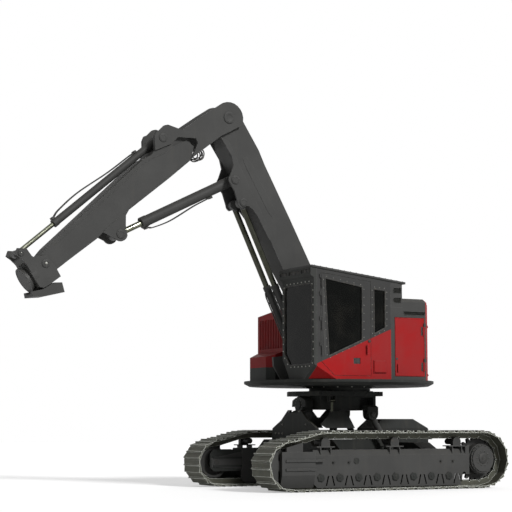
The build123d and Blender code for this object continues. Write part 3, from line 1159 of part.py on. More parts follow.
def tool_flange():
    """Turning flange with a circle of bolt holes, the interface of a harvesting head."""
    shape = flange_disc(30 + CLEAR, 75, FLANGE_R - 30)
    shape += flange_disc(74, 112, FLANGE_R)
    lean = math.radians(FLANGE_TILT)
    forward = Vector(math.cos(lean), 0, -math.sin(lean))
    up = Vector(math.sin(lean), 0, math.cos(lean))
    side = Vector(0, 1, 0)
    for i in range(FLANGE_BOLTS):
        turn = math.radians(360 / FLANGE_BOLTS * (i + 0.5))
        off = up * (math.cos(turn) * FLANGE_BOLT_PCD / 2) + side * (math.sin(turn) * FLANGE_BOLT_PCD / 2)
        centre = Vector(FLANGE_CENTRE[0], 0, FLANGE_CENTRE[1]) + off
        a, b = centre + forward * 70, centre + forward * 115
        shape -= rod(tuple(a), tuple(b), FLANGE_BOLT_R)
    return shape


# ---------------------------------------------------------------- write
def main():
    os.makedirs("parts", exist_ok=True)
    save(track(TRACK_Y), "track_left")
    save(track(-TRACK_Y), "track_right")
    frame = side_frame()
    save(together(frame, mirrored(frame)), "side_frames")
    rollers = [roller(ROLLER_FIRST_X - i * ROLLER_PITCH) for i in range(ROLLER_COUNT)]
    rollers += [carrier(x) for x in CARRIER_X]
    save(together(*rollers, *[mirrored(r) for r in rollers]), "track_rollers")
    for make, node in ((idler, "front_idlers"), (final_drive, "final_drives")):
        shape = make()
        save(together(shape, mirrored(shape)), node)
    save(carbody(), "carbody")

    save(tilt_frame(), "tilt_frame")
    save(turntable(), "turntable")
    for name in CYLINDERS:
        barrels, rods = cylinder(name)
        save(barrels, f"{name}_barrel")
        save(rods, f"{name}_rod")
    for side, y in (("left", ROLL_CYL_Y), ("right", -ROLL_CYL_Y)):
        barrel, piston = roll_cylinder(y)
        save(barrel, f"roll_cylinder_barrel_{side}")
        save(piston, f"roll_cylinder_rod_{side}")

    for make in (deck, boom_tower, cab_left_wall, cab_front, cab_right_wall, cab_rear_wall, cab_floor,
                 cab_roof, cab_windows, cab_door, seat, console, engine_housing,
                 counterweight, engine, right_hood, right_front_box, boom, stick, wrist, tool_flange):
        save(make(), make.__name__)
    mid = SIDE_Y - CAB_WALL + (CAB_WALL - GLASS_T) / 2
    save(pane(MAIN_WINDOW, mid, "y"), "cab_door_glass")
    save(side_door(1), "engine_door")
    save(side_door(-1), "service_door")


main()
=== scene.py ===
"""Looks of the tracked forestry harvester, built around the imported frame."""
import json
import math
import random

import bmesh
import bpy
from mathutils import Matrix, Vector


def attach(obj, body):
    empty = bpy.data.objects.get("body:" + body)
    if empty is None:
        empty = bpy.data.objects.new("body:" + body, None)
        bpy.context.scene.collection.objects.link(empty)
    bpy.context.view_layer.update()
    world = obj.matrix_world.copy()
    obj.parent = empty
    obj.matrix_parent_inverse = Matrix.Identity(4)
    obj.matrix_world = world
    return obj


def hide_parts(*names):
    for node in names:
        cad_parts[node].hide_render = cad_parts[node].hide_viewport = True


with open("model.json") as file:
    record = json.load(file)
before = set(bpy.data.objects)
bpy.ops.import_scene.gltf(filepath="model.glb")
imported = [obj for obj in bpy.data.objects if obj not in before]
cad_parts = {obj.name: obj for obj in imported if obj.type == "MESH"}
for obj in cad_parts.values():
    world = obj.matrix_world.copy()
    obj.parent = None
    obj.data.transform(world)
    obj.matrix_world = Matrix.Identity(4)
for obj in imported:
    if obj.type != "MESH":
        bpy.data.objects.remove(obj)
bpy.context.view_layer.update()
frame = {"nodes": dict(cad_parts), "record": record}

NODES = frame["nodes"]
random.seed(7)


# ---------------------------------------------------------------- camera and light
IMAGE_PX, SENSOR_MM = 512, 36.0
CAMERA_AT = Vector((13.336, 22.297, 1.062))
CAMERA_TURN, CAMERA_RISE = math.radians(27.744), math.radians(6.312)
FOCAL_PX = 1517.21
look = Vector((-math.sin(CAMERA_TURN) * math.cos(CAMERA_RISE),
               -math.cos(CAMERA_TURN) * math.cos(CAMERA_RISE), math.sin(CAMERA_RISE)))
camera = bpy.data.objects.new("camera", bpy.data.cameras.new("camera"))
bpy.context.collection.objects.link(camera)
camera.location = CAMERA_AT
camera.rotation_mode = "QUATERNION"
camera.rotation_quaternion = look.to_track_quat("-Z", "Y")
camera.data.sensor_width = SENSOR_MM
camera.data.lens = FOCAL_PX / IMAGE_PX * SENSOR_MM
camera.data.clip_end = 400.0
bpy.context.scene.camera = camera
bpy.context.scene.view_settings.view_transform = "Standard"


def sun(name, toward_light, strength, angle):
    """A lamp that shines from that direction; angle is its apparent size in degrees."""
    lamp = bpy.data.objects.new(name, bpy.data.lights.new(name, "SUN"))
    bpy.context.collection.objects.link(lamp)
    lamp.rotation_mode = "QUATERNION"
    lamp.rotation_quaternion = (-Vector(toward_light)).to_track_quat("-Z", "Y")
    lamp.data.energy = strength
    lamp.data.angle = math.radians(angle)


sun("key", (-0.22, 0.80, 0.52), 2.5, 12)
sun("fill", (-0.55, -0.65, 0.50), 0.60, 60)

WORLD_LEVEL = 0.24
GLOSSY_WORLD, GLOSSY_FLOOR = 0.55, 0.5  # share of the white surroundings that gloss reflects


def studio_world():
    """Grey surroundings for the light, white ones for the camera and through glass."""
    world = bpy.data.worlds.new("studio")
    bpy.context.scene.world = world
    world.use_nodes = True
    nodes, link = world.node_tree.nodes, world.node_tree.links.new
    nodes.clear()

    def background(strength):
        node = nodes.new("ShaderNodeBackground")
        node.inputs["Color"].default_value = (1, 1, 1, 1)
        node.inputs["Strength"].default_value = strength
        return node.outputs[0]

    def combine(operation, a, b):
        node = nodes.new("ShaderNodeMath")
        node.operation = operation
        link(a, node.inputs[0])
        if isinstance(b, float):
            node.inputs[1].default_value = b
        else:
            link(b, node.inputs[1])
        return node.outputs[0]

    rays = nodes.new("ShaderNodeLightPath").outputs
    seen = combine("MAXIMUM", rays["Is Camera Ray"], rays["Is Transmission Ray"])
    white_share = combine("MAXIMUM", seen, combine("MULTIPLY", rays["Is Glossy Ray"], GLOSSY_WORLD))
    mix = nodes.new("ShaderNodeMixShader")
    output = nodes.new("ShaderNodeOutputWorld")
    link(white_share, mix.inputs["Fac"])
    link(background(WORLD_LEVEL), mix.inputs[1])
    link(background(1.0), mix.inputs[2])
    link(mix.outputs[0], output.inputs["Surface"])


studio_world()


# ---------------------------------------------------------------- materials
class Net:
    """Short calls for building a material's nodes."""

    def __init__(self, name):
        self.material = bpy.data.materials.new(name)
        self.material.use_nodes = True
        self.tree = self.material.node_tree
        self.tree.nodes.clear()
        self.output = self.add("OutputMaterial")
        self.shader = self.add("BsdfPrincipled")
        self.link(self.shader.outputs[0], self.output.inputs["Surface"])
        self.place = self.add("TexCoord").outputs["Object"]

    def add(self, kind):
        return self.tree.nodes.new("ShaderNode" + kind)

    def link(self, a, b):
        self.tree.links.new(a, b)

    def feed(self, value, socket):
        if hasattr(value, "is_output"):
            self.link(value, socket)
        else:
            socket.default_value = value

    def math(self, op, a, b=0.0, c=None, clamp=False):
        node = self.add("Math")
        node.operation = op
        node.use_clamp = clamp
        self.feed(a, node.inputs[0])
        self.feed(b, node.inputs[1])
        if c is not None:
            self.feed(c, node.inputs[2])
        return node.outputs[0]

    def stretch(self, scale):
        node = self.add("Mapping")
        node.inputs["Scale"].default_value = scale
        self.link(self.place, node.inputs["Vector"])
        return node.outputs[0]

    def noise(self, scale, detail=3.0, rough=0.55, stretched=None):
        node = self.add("TexNoise")
        node.inputs["Scale"].default_value = scale
        node.inputs["Detail"].default_value = detail
        node.inputs["Roughness"].default_value = rough
        self.link(self.stretch(stretched) if stretched else self.place, node.inputs["Vector"])
        return node.outputs["Fac"]

    def ramp(self, value, low, high, to_low=0.0, to_high=1.0):
        node = self.add("MapRange")
        node.interpolation_type = "SMOOTHSTEP"
        self.feed(value, node.inputs["Value"])
        for key, number in (("From Min", low), ("From Max", high), ("To Min", to_low), ("To Max", to_high)):
            node.inputs[key].default_value = number
        return node.outputs["Result"]

    def blend(self, factor, a, b):
        node = self.add("Mix")
        node.data_type = "RGBA"
        self.feed(factor, node.inputs[0])
        self.feed(a if hasattr(a, "is_output") else (*a, 1.0), node.inputs[6])
        self.feed(b if hasattr(b, "is_output") else (*b, 1.0), node.inputs[7])
        return node.outputs[2]

    def edges(self, radius):
        """1 on a convex or concave edge, 0 on a flat face."""
        bevel = self.add("Bevel")
        bevel.samples = 4
        bevel.inputs["Radius"].default_value = radius
        geometry = self.add("NewGeometry")
        dot = self.add("VectorMath")
        dot.operation = "DOT_PRODUCT"
        self.link(bevel.outputs[0], dot.inputs[0])
        self.link(geometry.outputs["Normal"], dot.inputs[1])
        return self.ramp(dot.outputs["Value"], 0.995, 0.80)

    def upward(self):
        geometry = self.add("NewGeometry")
        split = self.add("SeparateXYZ")
        self.link(geometry.outputs["Normal"], split.inputs[0])
        return split.outputs["Z"]

    def bump(self, height, strength, distance):
        node = self.add("Bump")
        node.inputs["Strength"].default_value = strength
        node.inputs["Distance"].default_value = distance
        self.link(height, node.inputs["Height"])
        self.link(node.outputs[0], self.shader.inputs["Normal"])


DUST = (0.150, 0.135, 0.105)
CHROME, OILY_CHROME = (0.150, 0.155, 0.120), (0.070, 0.075, 0.040)


def paint(name, colour, worn, rough=0.48, wear=0.35, dust=0.25, film=1.0, second=None, border=None):
    """Sprayed enamel: patchy tone, dust where it lies, rubbed edges, orange peel.

    second is the colour below a border: a list of (x factor, z factor, limit), any of which turns it on."""
    net = Net(name)
    base = colour
    if second:
        split = net.add("SeparateXYZ")
        net.link(net.place, split.inputs[0])
        mask = None
        for row in border:
            total = net.math("ADD", net.math("MULTIPLY", split.outputs["X"], row[0]),
                             net.math("MULTIPLY", split.outputs["Z"], row[1]))
            hit = net.math("LESS_THAN", total, row[2])
            mask = hit if mask is None else net.math("MAXIMUM", mask, hit)
        base = net.blend(mask, colour, second)
    patches = net.ramp(net.noise(1.7, 5.0, 0.6), 0.35, 0.68)
    dark = net.add("HueSaturation")
    dark.inputs["Value"].default_value = 0.86
    dark.inputs["Saturation"].default_value = 0.96
    net.feed(base if hasattr(base, "is_output") else (*base, 1.0), dark.inputs["Color"])
    tone = net.blend(patches, dark.outputs[0], base)
    streaks = net.ramp(net.noise(9.0, 4.0, 0.6, stretched=(1.0, 1.0, 0.12)), 0.50, 0.78, 0.0, 0.13 * film)
    tone = net.blend(streaks, tone, DUST)
    settled = net.math("MULTIPLY", net.ramp(net.upward(), 0.25, 0.95),
                       net.ramp(net.noise(14.0, 5.0, 0.65), 0.30, 0.70, 0.25, 1.0))
    tone = net.blend(net.math("MULTIPLY", settled, dust), tone, DUST)
    specks = net.ramp(net.noise(70.0, 3.0, 0.7), 0.66, 0.76, 0.0, 0.20 * film)
    tone = net.blend(specks, tone, DUST)
    rub = net.math("MULTIPLY", net.edges(0.010), net.ramp(net.noise(26.0, 4.0, 0.6), 0.36, 0.60))
    tone = net.blend(net.math("MULTIPLY", rub, wear), tone, worn)
    net.link(tone, net.shader.inputs["Base Color"])
    roughness = net.math("ADD", rough, net.math("MULTIPLY", net.noise(5.0, 4.0), 0.16))
    roughness = net.math("ADD", roughness, net.math("MULTIPLY", settled, 0.15))
    net.link(roughness, net.shader.inputs["Roughness"])
    net.shader.inputs["Specular IOR Level"].default_value = 0.16
    net.bump(net.noise(380.0, 2.0), 0.10, 0.0006)
    return net.material


def steel(name, colour, edge_wear_and_glint, rough=0.5, metallic=0.35, wear=0.9, edge=0.008, rust=0.25,
          grain=(0.28, 0.55)):
    """Bare or worn steel with rubbed edges in the edge colour, which on the tracks is also a painted
    highlight, and a brown bloom.
    """
    net = Net(name)
    tone = net.blend(net.ramp(net.noise(6.0, 5.0, 0.65), 0.30, 0.72), [c * 0.72 for c in colour], colour)
    bloom = net.ramp(net.noise(19.0, 6.0, 0.7), 0.52, 0.78, 0.0, rust)
    tone = net.blend(bloom, tone, (0.13, 0.085, 0.045))
    settled = net.math("MULTIPLY", net.ramp(net.upward(), 0.3, 1.0),
                       net.ramp(net.noise(40.0, 4.0), 0.3, 0.7))
    tone = net.blend(net.math("MULTIPLY", settled, 0.30), tone, DUST)
    rub = net.math("MULTIPLY", net.edges(edge), net.ramp(net.noise(48.0, 3.0), *grain))
    tone = net.blend(net.math("MULTIPLY", rub, wear), tone, edge_wear_and_glint)
    net.link(tone, net.shader.inputs["Base Color"])
    net.shader.inputs["Metallic"].default_value = metallic
    net.link(net.math("ADD", rough, net.math("MULTIPLY", net.noise(30.0, 4.0), 0.22)),
             net.shader.inputs["Roughness"])
    net.bump(net.noise(120.0, 5.0, 0.7), 0.28, 0.0014)
    return net.material


def chrome(name, pin=None, eye=0.0, painted_light_factor=1.0):
    """Oily chromed rod; within eye of its pin (x, z) it is the painted rod eye. painted_light_factor scales
    the chrome's colour: below 1 it is painted shade, above 1 a painted reflection.
    """
    net = Net(name)
    film = net.ramp(net.noise(7.0, 3.0), 0.40, 0.75, 0.0, 0.6)
    tone = net.blend(film, [c * painted_light_factor for c in CHROME], [c * painted_light_factor for c in OILY_CHROME])
    metal, rough = 0.9, net.ramp(net.noise(9.0, 3.0), 0.3, 0.7, 0.20, 0.34)
    if pin:
        split = net.add("SeparateXYZ")
        net.link(net.place, split.inputs[0])
        away = [net.math("POWER", net.math("SUBTRACT", split.outputs[axis], value), 2.0)
                for axis, value in zip("XZ", pin)]
        painted = net.math("LESS_THAN", net.math("ADD", *away), eye * eye)
        tone = net.blend(painted, tone, net.blend(net.ramp(net.noise(9.0, 4.0), 0.35, 0.7), GREY,
                                                  [c * 0.8 for c in GREY]))
        metal = net.math("MULTIPLY", net.math("SUBTRACT", 1.0, painted), 0.9)
        rough = net.math("MAXIMUM", rough, net.math("MULTIPLY", painted, 0.55))
    net.link(tone, net.shader.inputs["Base Color"])
    net.feed(metal, net.shader.inputs["Metallic"])
    net.link(rough, net.shader.inputs["Roughness"])
    net.bump(net.noise(260.0, 2.0, stretched=(1.0, 1.0, 0.05)), 0.02, 0.0002)
    return net.material


def glass(name, tint, alpha):
    """Tinted pane, see-through by its alpha, with faint smears."""
    net = Net(name)
    smear = net.ramp(net.noise(3.0, 2.0, 0.5), 0.45, 0.80)
    net.link(net.blend(net.math("MULTIPLY", smear, 0.05), tint, DUST), net.shader.inputs["Base Color"])
    net.link(net.ramp(net.noise(13.0, 5.0, 0.7), 0.35, 0.75, 0.02, 0.07), net.shader.inputs["Roughness"])
    net.link(net.math("ADD", alpha, net.math("MULTIPLY", smear, 0.03)), net.shader.inputs["Alpha"])
    net.shader.inputs["Specular IOR Level"].default_value = 0.12
    return net.material


def rubber(name, colour=(0.022, 0.022, 0.021)):
    """Matt rubber or plastic with a little dust and grain."""
    net = Net(name)
    net.link(net.blend(net.ramp(net.noise(20.0, 4.0), 0.4, 0.75, 0.0, 0.35), colour, DUST),
             net.shader.inputs["Base Color"])
    net.link(net.ramp(net.noise(30.0, 3.0), 0.3, 0.7, 0.55, 0.8), net.shader.inputs["Roughness"])
    net.bump(net.noise(420.0, 3.0), 0.25, 0.0008)
    return net.material


def fabric(name):
    """Woven seat cover: two crossed bands of thread."""
    net = Net(name)
    weave = []
    for axis in ("X", "Z"):
        wave = net.add("TexWave")
        wave.bands_direction = axis
        wave.inputs["Scale"].default_value = 170.0
        wave.inputs["Distortion"].default_value = 0.6
        net.link(net.place, wave.inputs["Vector"])
        weave.append(wave.outputs["Fac"])
    threads = net.math("MULTIPLY", weave[0], weave[1])
    net.link(net.blend(threads, (0.018, 0.018, 0.020), (0.060, 0.060, 0.065)),
             net.shader.inputs["Base Color"])
    net.shader.inputs["Roughness"].default_value = 0.9
    net.shader.inputs["Sheen Weight"].default_value = 0.25
    net.bump(threads, 0.5, 0.0012)
    return net.material


# ends of the cylinders, from base pin to rod pin, and other pins, all as (X, Z)
BOOM_CYLINDER = ((0.720, 2.050), (1.965, 4.699))
STICK_CYLINDER = ((2.114, 5.064), (4.149, 4.047))
TOOL_CYLINDER = ((3.444, 5.650), (5.790, 3.660))
BOOM_FOOT, BOOM_TIP = (0.050, 2.380), (2.256, 6.087)
WRIST_PIN = (5.387, 3.519)
TILT_HINGE, PITCH_PIN = (0.740, 1.185), (-0.330, 1.220)

GREY = (0.062, 0.062, 0.060)
CAB_GREY = (0.048, 0.048, 0.047)
DARK = (0.030, 0.032, 0.030)
RED = (0.345, 0.005, 0.006)
HOOD_RED, BOX_RED = (0.22, 0.006, 0.006), (0.25, 0.006, 0.007)
WORN = (0.22, 0.22, 0.21)

# where one colour ends and the other begins: a sloping line on the cab, X on the housing, Z on the front box
CAB_LINE = ((1.240, 2.010), (-0.180, 2.602))
HOUSING_LINE_X, BOX_LINE_Z = -0.862, 2.02
cab_slope = (CAB_LINE[1][1] - CAB_LINE[0][1]) / (CAB_LINE[0][0] - CAB_LINE[1][0])
cab_border = (cab_slope, 1.0, CAB_LINE[0][1] + cab_slope * CAB_LINE[0][0])

grey_paint = paint("grey_enamel", GREY, WORN, dust=0.12, film=0.45)
dark_paint = paint("dark_enamel", DARK, (0.12, 0.12, 0.11), rough=0.55)
red_paint = paint("red_enamel", RED, (0.46, 0.07, 0.06), rough=0.42, dust=0.05, film=0.25)
hood_red = paint("hood_red_enamel", HOOD_RED, (0.32, 0.05, 0.04), rough=0.48, dust=0.06, film=0.3)
cab_paint = paint("cab_enamel", CAB_GREY, WORN, dust=0.10, film=0.35, second=RED, border=[cab_border])
housing_paint = paint("housing_enamel", GREY, WORN, dust=0.15, film=0.5, second=RED,
                      border=[(1.0, 0.0, HOUSING_LINE_X)])
box_paint = paint("front_box_enamel", BOX_RED, WORN, dust=0.15, film=0.4, second=DARK,
                  border=[(0.0, 1.0, BOX_LINE_Z)])
# the tracks' near-white edge colour is partly real wear and partly a painted highlight along the pad edges
track_steel = steel("track_steel", (0.092, 0.094, 0.070), (0.86, 0.88, 0.82), wear=1.0, edge=0.013,
                    grain=(0.12, 0.36))
wheel_steel = steel("wheel_steel", (0.040, 0.040, 0.038), (0.20, 0.20, 0.18), wear=0.5)
flange_steel = steel("flange_steel", (0.050, 0.050, 0.048), (0.16, 0.16, 0.15), rough=0.45, metallic=0.3,
                     wear=0.4, rust=0.05)
bolt_steel = steel("bolt_steel", (0.42, 0.42, 0.38), (0.75, 0.75, 0.70), rough=0.4, metallic=0.3, wear=0.4)
dull_bolt = steel("dull_bolt", (0.22, 0.22, 0.20), (0.50, 0.50, 0.46), rough=0.5, metallic=0.2, wear=0.3)
rod_chrome = chrome("rod_chrome")
# the chrome's colour is scaled per rod: darker on the boom and roll rods as painted shade, lighter on the
# stick and tool rods as a painted reflection
boom_rod = chrome("boom_rod_chrome", BOOM_CYLINDER[1], 0.115, painted_light_factor=0.38)
stick_rod = chrome("stick_rod_chrome", STICK_CYLINDER[1], 0.125, painted_light_factor=1.8)
tool_rod = chrome("tool_rod_chrome", TOOL_CYLINDER[1], 0.105, painted_light_factor=1.3)
# the boom tower's grey is nearly twice the grey enamel: painted light on plates that the cab shadows
tower_painted_light = paint("tower_enamel_painted_light", (0.115, 0.115, 0.112), (0.26, 0.26, 0.25), rough=0.55, film=0.4)
dark_front = paint("front_enamel", (0.048, 0.050, 0.047), WORN, rough=0.6, dust=0.1, film=0.4)
pane_glass = glass("tinted_pane", (0.003, 0.0035, 0.003), 0.84)
hose_rubber = rubber("hose_rubber")
seat_fabric = fabric("seat_fabric")
plastic = rubber("console_plastic", (0.030, 0.030, 0.030))

LOOKS = {
    "cab_left_wall": cab_paint, "cab_door": cab_paint, "engine_housing": housing_paint,
    # the deck wears the dark enamel as painted shade on its rim
    "right_front_box": box_paint, "boom_tower": tower_painted_light, "right_hood": hood_red, "deck": dark_paint,
    "cab_front": dark_front,
    "boom_cylinder_rod": boom_rod, "stick_cylinder_rod": stick_rod, "tool_cylinder_rod": tool_rod,
    "roll_cylinder_rod_left": boom_rod, "roll_cylinder_rod_right": boom_rod,
}
BY_SLOT = {
    "grey_paint": grey_paint, "dark_paint": dark_paint, "red_paint": red_paint, "track_steel": track_steel,
    "wheel_steel": wheel_steel, "rod_chrome": rod_chrome, "glass": pane_glass, "seat_fabric": seat_fabric,
    "console_plastic": plastic, "flange_steel": flange_steel,
}
for part in frame["record"]["subparts"]:
    node = NODES[part["node"]]
    look_of_node = LOOKS.get(part["node"], BY_SLOT[part["material_slot"]])
    if not node.material_slots:
        node.data.materials.append(look_of_node)
    for place in node.material_slots:
        place.material = look_of_node


# ---------------------------------------------------------------- pieces
SHARP_EDGE = 0.5  # radians between faces from which an edge is bevelled
SMOOTH_TO = math.radians(38)


def axes_for(normal):
    """Two directions square to the normal, and the normal itself."""
    n = Vector(normal).normalized()
    side = n.orthogonal().normalized()
    return side, n.cross(side), n


def smooth_path(points, closed, per_run):
    """Points on a Catmull-Rom curve through the given ones."""
    pts = [Vector(p) for p in points]
    count = len(pts)
    runs = count if closed else count - 1
    result = []
    for i in range(runs):
        if closed:
            a, b, c, d = (pts[(i + k - 1) % count] for k in range(4))
        else:
            b, c = pts[i], pts[i + 1]
            a = pts[i - 1] if i else b + (b - c)
            d = pts[i + 2] if i + 2 < count else c + (c - b)
        for k in range(per_run):
            t = k / per_run
            result.append(0.5 * (2 * b + (c - a) * t + (2 * a - 5 * b + 4 * c - d) * t * t
                                 + (3 * b - a - 3 * c + d) * t ** 3))
    if not closed:
        result.append(pts[-1])
    return result


class Piece:
    """Faces collected in one mesh, which then rides on a body."""

    def __init__(self):
        self.bm = bmesh.new()

    def rings(self, rings, closed=False):
        """Skin over rings of as many corners each, capped at the ends unless closed."""
        steps = len(rings[0])
        verts = [[self.bm.verts.new(p) for p in ring] for ring in rings]
        pairs = list(zip(verts, verts[1:]))
        if closed:
            pairs.append((verts[-1], verts[0]))
        for low, high in pairs:
            for i in range(steps):
                j = (i + 1) % steps
                self.bm.faces.new((low[i], low[j], high[j], high[i]))
        if not closed:
            self.bm.faces.new(verts[0][::-1])
            self.bm.faces.new(verts[-1])

    def turned(self, origin, axis, profile, steps=14, turn=0.0, hollow=False):
        """A turned form from (radius, height) pairs along the axis; hollow joins the last to the first."""
        origin, (u, v, n) = Vector(origin), axes_for(axis)
        angles = [turn + 2 * math.pi * i / steps for i in range(steps)]
        self.rings([[origin + n * height + (u * math.cos(a) + v * math.sin(a)) * max(radius, 1e-4)
                     for a in angles] for radius, height in profile], hollow)

    def bolt(self, place, axis, size):
        """Hex head with a chamfered top on a washer; size is half the head's width."""
        self.turned(place, axis, [(size * 1.45, -0.002), (size * 1.45, size * 0.18),
                                  (size * 1.30, size * 0.26)])
        self.turned(place, axis, [(size, size * 0.2), (size * 1.12, size * 0.32), (size * 1.12, size * 0.95),
                                  (size * 0.90, size * 1.12)], 6, random.uniform(0, 1))

    def tube(self, points, radius, steps=10, closed=False, per_run=6, lumps=0.0):
        """Round bar along the points, on a smooth curve where per_run is over 1; lumps vary its radius."""
        path = smooth_path(points, closed, per_run) if per_run > 1 else [Vector(p) for p in points]
        count = len(path)
        tangent = [(path[(i + 1) % count if closed else min(i + 1, count - 1)]
                    - path[i - 1 if closed or i else 0]).normalized() for i in range(count)]
        side = tangent[0].orthogonal().normalized()
        rings = []
        for i, point in enumerate(path):
            side = (side - tangent[i] * side.dot(tangent[i])).normalized()
            other = tangent[i].cross(side)
            r = radius * (1 + lumps * math.sin(i * 2.1) * random.uniform(0.3, 1.0))
            rings.append([point + (side * math.cos(2 * math.pi * k / steps)
                                   + other * math.sin(2 * math.pi * k / steps)) * r for k in range(steps)])
        self.rings(rings, closed)

    def slab(self, points, plane, low, high):
        """A plate with that outline in the plane across the named axis, from low to high."""
        place = {"x": lambda a, b, t: (t, a, b), "y": lambda a, b, t: (a, t, b),
                 "z": lambda a, b, t: (a, b, t)}[plane]
        self.rings([[Vector(place(a, b, t)) for a, b in points] for t in (low, high)])

    def block(self, x, y, z):
        """A box between the two values given for each axis."""
        self.slab([(x[0], y[0]), (x[1], y[0]), (x[1], y[1]), (x[0], y[1])], "z", z[0], z[1])

    def done(self, name, body, material, slot, bevel=0.0, smooth=False):
        """Turn the faces into the named object, which rides on the body."""
        bm = self.bm
        bmesh.ops.recalc_face_normals(bm, faces=bm.faces)
        if bevel:
            sharp = [e for e in bm.edges if len(e.link_faces) == 2 and e.calc_face_angle(0) > SHARP_EDGE]
            bmesh.ops.bevel(bm, geom=sharp, offset=bevel, segments=2, profile=0.6, affect="EDGES")
        mesh = bpy.data.meshes.new(name)
        for face in bm.faces:
            face.smooth = smooth
        bm.to_mesh(mesh)
        bm.free()
        piece = bpy.data.objects.new(name, mesh)
        bpy.context.collection.objects.link(piece)
        if smooth:
            mesh.set_sharp_from_angle(angle=SMOOTH_TO)
        mesh.materials.append(material)
        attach(piece, body)


def outward(points, distance):
    """The convex outline, every side moved out by that distance."""
    cx = sum(p[0] for p in points) / len(points)
    cy = sum(p[1] for p in points) / len(points)
    lines = []
    for (x0, y0), (x1, y1) in zip(points, points[1:] + points[:1]):
        length = math.hypot(x1 - x0, y1 - y0)
        nx, ny = (y1 - y0) / length, (x0 - x1) / length
        if nx * (cx - x0) + ny * (cy - y0) > 0:
            nx, ny = -nx, -ny
        lines.append((nx, ny, nx * x0 + ny * y0 + distance))
    corners = []
    for (a, b, c), (d, e, f) in zip(lines[-1:] + lines[:-1], lines):
        det = a * e - b * d
        corners.append(((c * e - b * f) / det, (a * f - c * d) / det))
    return corners


def stations(points, spacing):
    """Points at an even spacing along each side of the closed outline, none on its corners."""
    result = []
    for (x0, y0), (x1, y1) in zip(points, points[1:] + points[:1]):
        length = math.hypot(x1 - x0, y1 - y0)
        count = max(1, round(length / spacing))
        for i in range(count):
            t = (i + 0.5) / count
            result.append((x0 + (x1 - x0) * t, y0 + (y1 - y0) * t))
    return result


# ---------------------------------------------------------------- cab
CAB_SIDE_Y, CAB_FRONT_X = 1.350, 1.270
FRONT_EDGE_Y = 1.335  # the front wall ends here, so no bolt stands farther out
BOLT_LINE = 0.030  # from a window's outline out to the line of its bolts

FRONT_WINDOW = [(0.540, 2.010), (1.240, 2.010), (1.290, 2.080), (1.290, 3.240), (1.240, 3.310),
                (0.410, 3.310), (0.360, 3.240), (0.360, 2.200)]
MAIN_WINDOW = [(1.068, 3.392), (0.363, 3.277), (0.371, 2.409), (1.001, 2.137)]
REAR_WINDOW = [(0.148, 3.253), (-0.075, 3.234), (-0.070, 2.618), (0.146, 2.514)]
SEAL = [(0.010, -0.004), (0.010, 0.004), (0.002, 0.007),  # out from the outline, out from the wall
        (-0.010, 0.004), (-0.012, -0.020), (-0.001, -0.024)]


def dress_window(name, outline, plane, face, body, spacing, size, steel_of_bolts):
    """Bolts round the pane and a rubber seal on its edge, on the wall's face across the named axis."""
    def put(a, b, t):
        return (t, a, b) if plane == "x" else (a, t, b)

    bolts = Piece()
    for a, b in stations(outward(outline, BOLT_LINE), spacing):
        if plane == "y" or a < FRONT_EDGE_Y:
            bolts.bolt(put(a, b, face), put(0, 0, 1), size)
    bolts.done(name + "_bolts", body, steel_of_bolts, "flange_steel", smooth=True)
    seal = Piece()
    seal.rings([[Vector(put(a, b, face + t)) for a, b in outward(outline, d)] for d, t in SEAL], closed=True)
    seal.done(name + "_seal", body, hose_rubber, "console_plastic")


dress_window("front_pane", FRONT_WINDOW, "x", CAB_FRONT_X, "upper", 0.118, 0.0080, bolt_steel)
dress_window("door_pane", MAIN_WINDOW, "y", CAB_SIDE_Y, "cab_door", 0.128, 0.0052, dull_bolt)
dress_window("rear_side_pane", REAR_WINDOW, "y", CAB_SIDE_Y, "upper", 0.112, 0.0052, dull_bolt)

# door: stepped hinge cover, recess plate with its lever, lock
cover = Piece()
cover.slab([(1.128, 3.435), (1.100, 3.435), (1.094, 3.170), (1.078, 3.150), (1.074, 2.760), (1.088, 2.740),
            (1.084, 2.560), (1.064, 2.540), (1.056, 2.170), (1.086, 2.150), (1.104, 2.520), (1.112, 2.740),
            (1.118, 3.150)], "y", 1.349, 1.3555)
cover.done("door_hinge_cover", "cab_door", grey_paint, "grey_paint", bevel=0.002)
recess = Piece()
recess.slab([(0.414, 2.028), (0.534, 2.028), (0.534, 2.116), (0.414, 2.116)], "y", 1.333, 1.338)
recess.slab([(0.430, 2.092), (0.518, 2.092), (0.518, 2.108), (0.430, 2.108)], "y", 1.337, 1.349)
recess.slab([(0.466, 2.036), (0.484, 2.036), (0.484, 2.094), (0.466, 2.094)], "y", 1.337, 1.347)
for x in (0.448, 0.500):
    recess.turned((x, 1.337, 2.060), (0, 1, 0), [(0.014, 0), (0.014, 0.006), (0.008, 0.009)], 12)
recess.done("door_recess_plate", "cab_door", grey_paint, "grey_paint", bevel=0.0015)
lock = Piece()
lock.turned((0.240, 1.349, 2.395), (0, 1, 0), [(0.024, 0), (0.024, 0.008), (0.018, 0.014), (0.012, 0.014),
                                               (0.010, 0.010)], 20)
lock.done("door_lock", "cab_door", grey_paint, "grey_paint", smooth=True)

# corner bolts of the cover behind the door
cover_bolts = Piece()
for x in (-0.052, 0.142):
    for z in (1.902, 2.066):
        cover_bolts.bolt((x, 1.372, z), (0, 1, 0), 0.008)
cover_bolts.done("side_cover_bolts", "upper", red_paint, "red_paint", smooth=True)

# seat: crowned cushions over a moulded pan
SEAT_Y = 0.84
VOXEL, QUICK_VOXEL = 0.006, 0.016
CLOTH_STEPS = 20
MOST_MOVE = 0.022  # how far the simulation may move a point
CROWN = 0.010
CHANNEL_DEPTH, CHANNEL_HALF = 0.010, 0.022  # sewn channels across the seat
SEAM_AT = 0.62  # seams along it, as a share of the half width
SEAM_DEPTH, SEAM_HALF = 0.009, 0.018


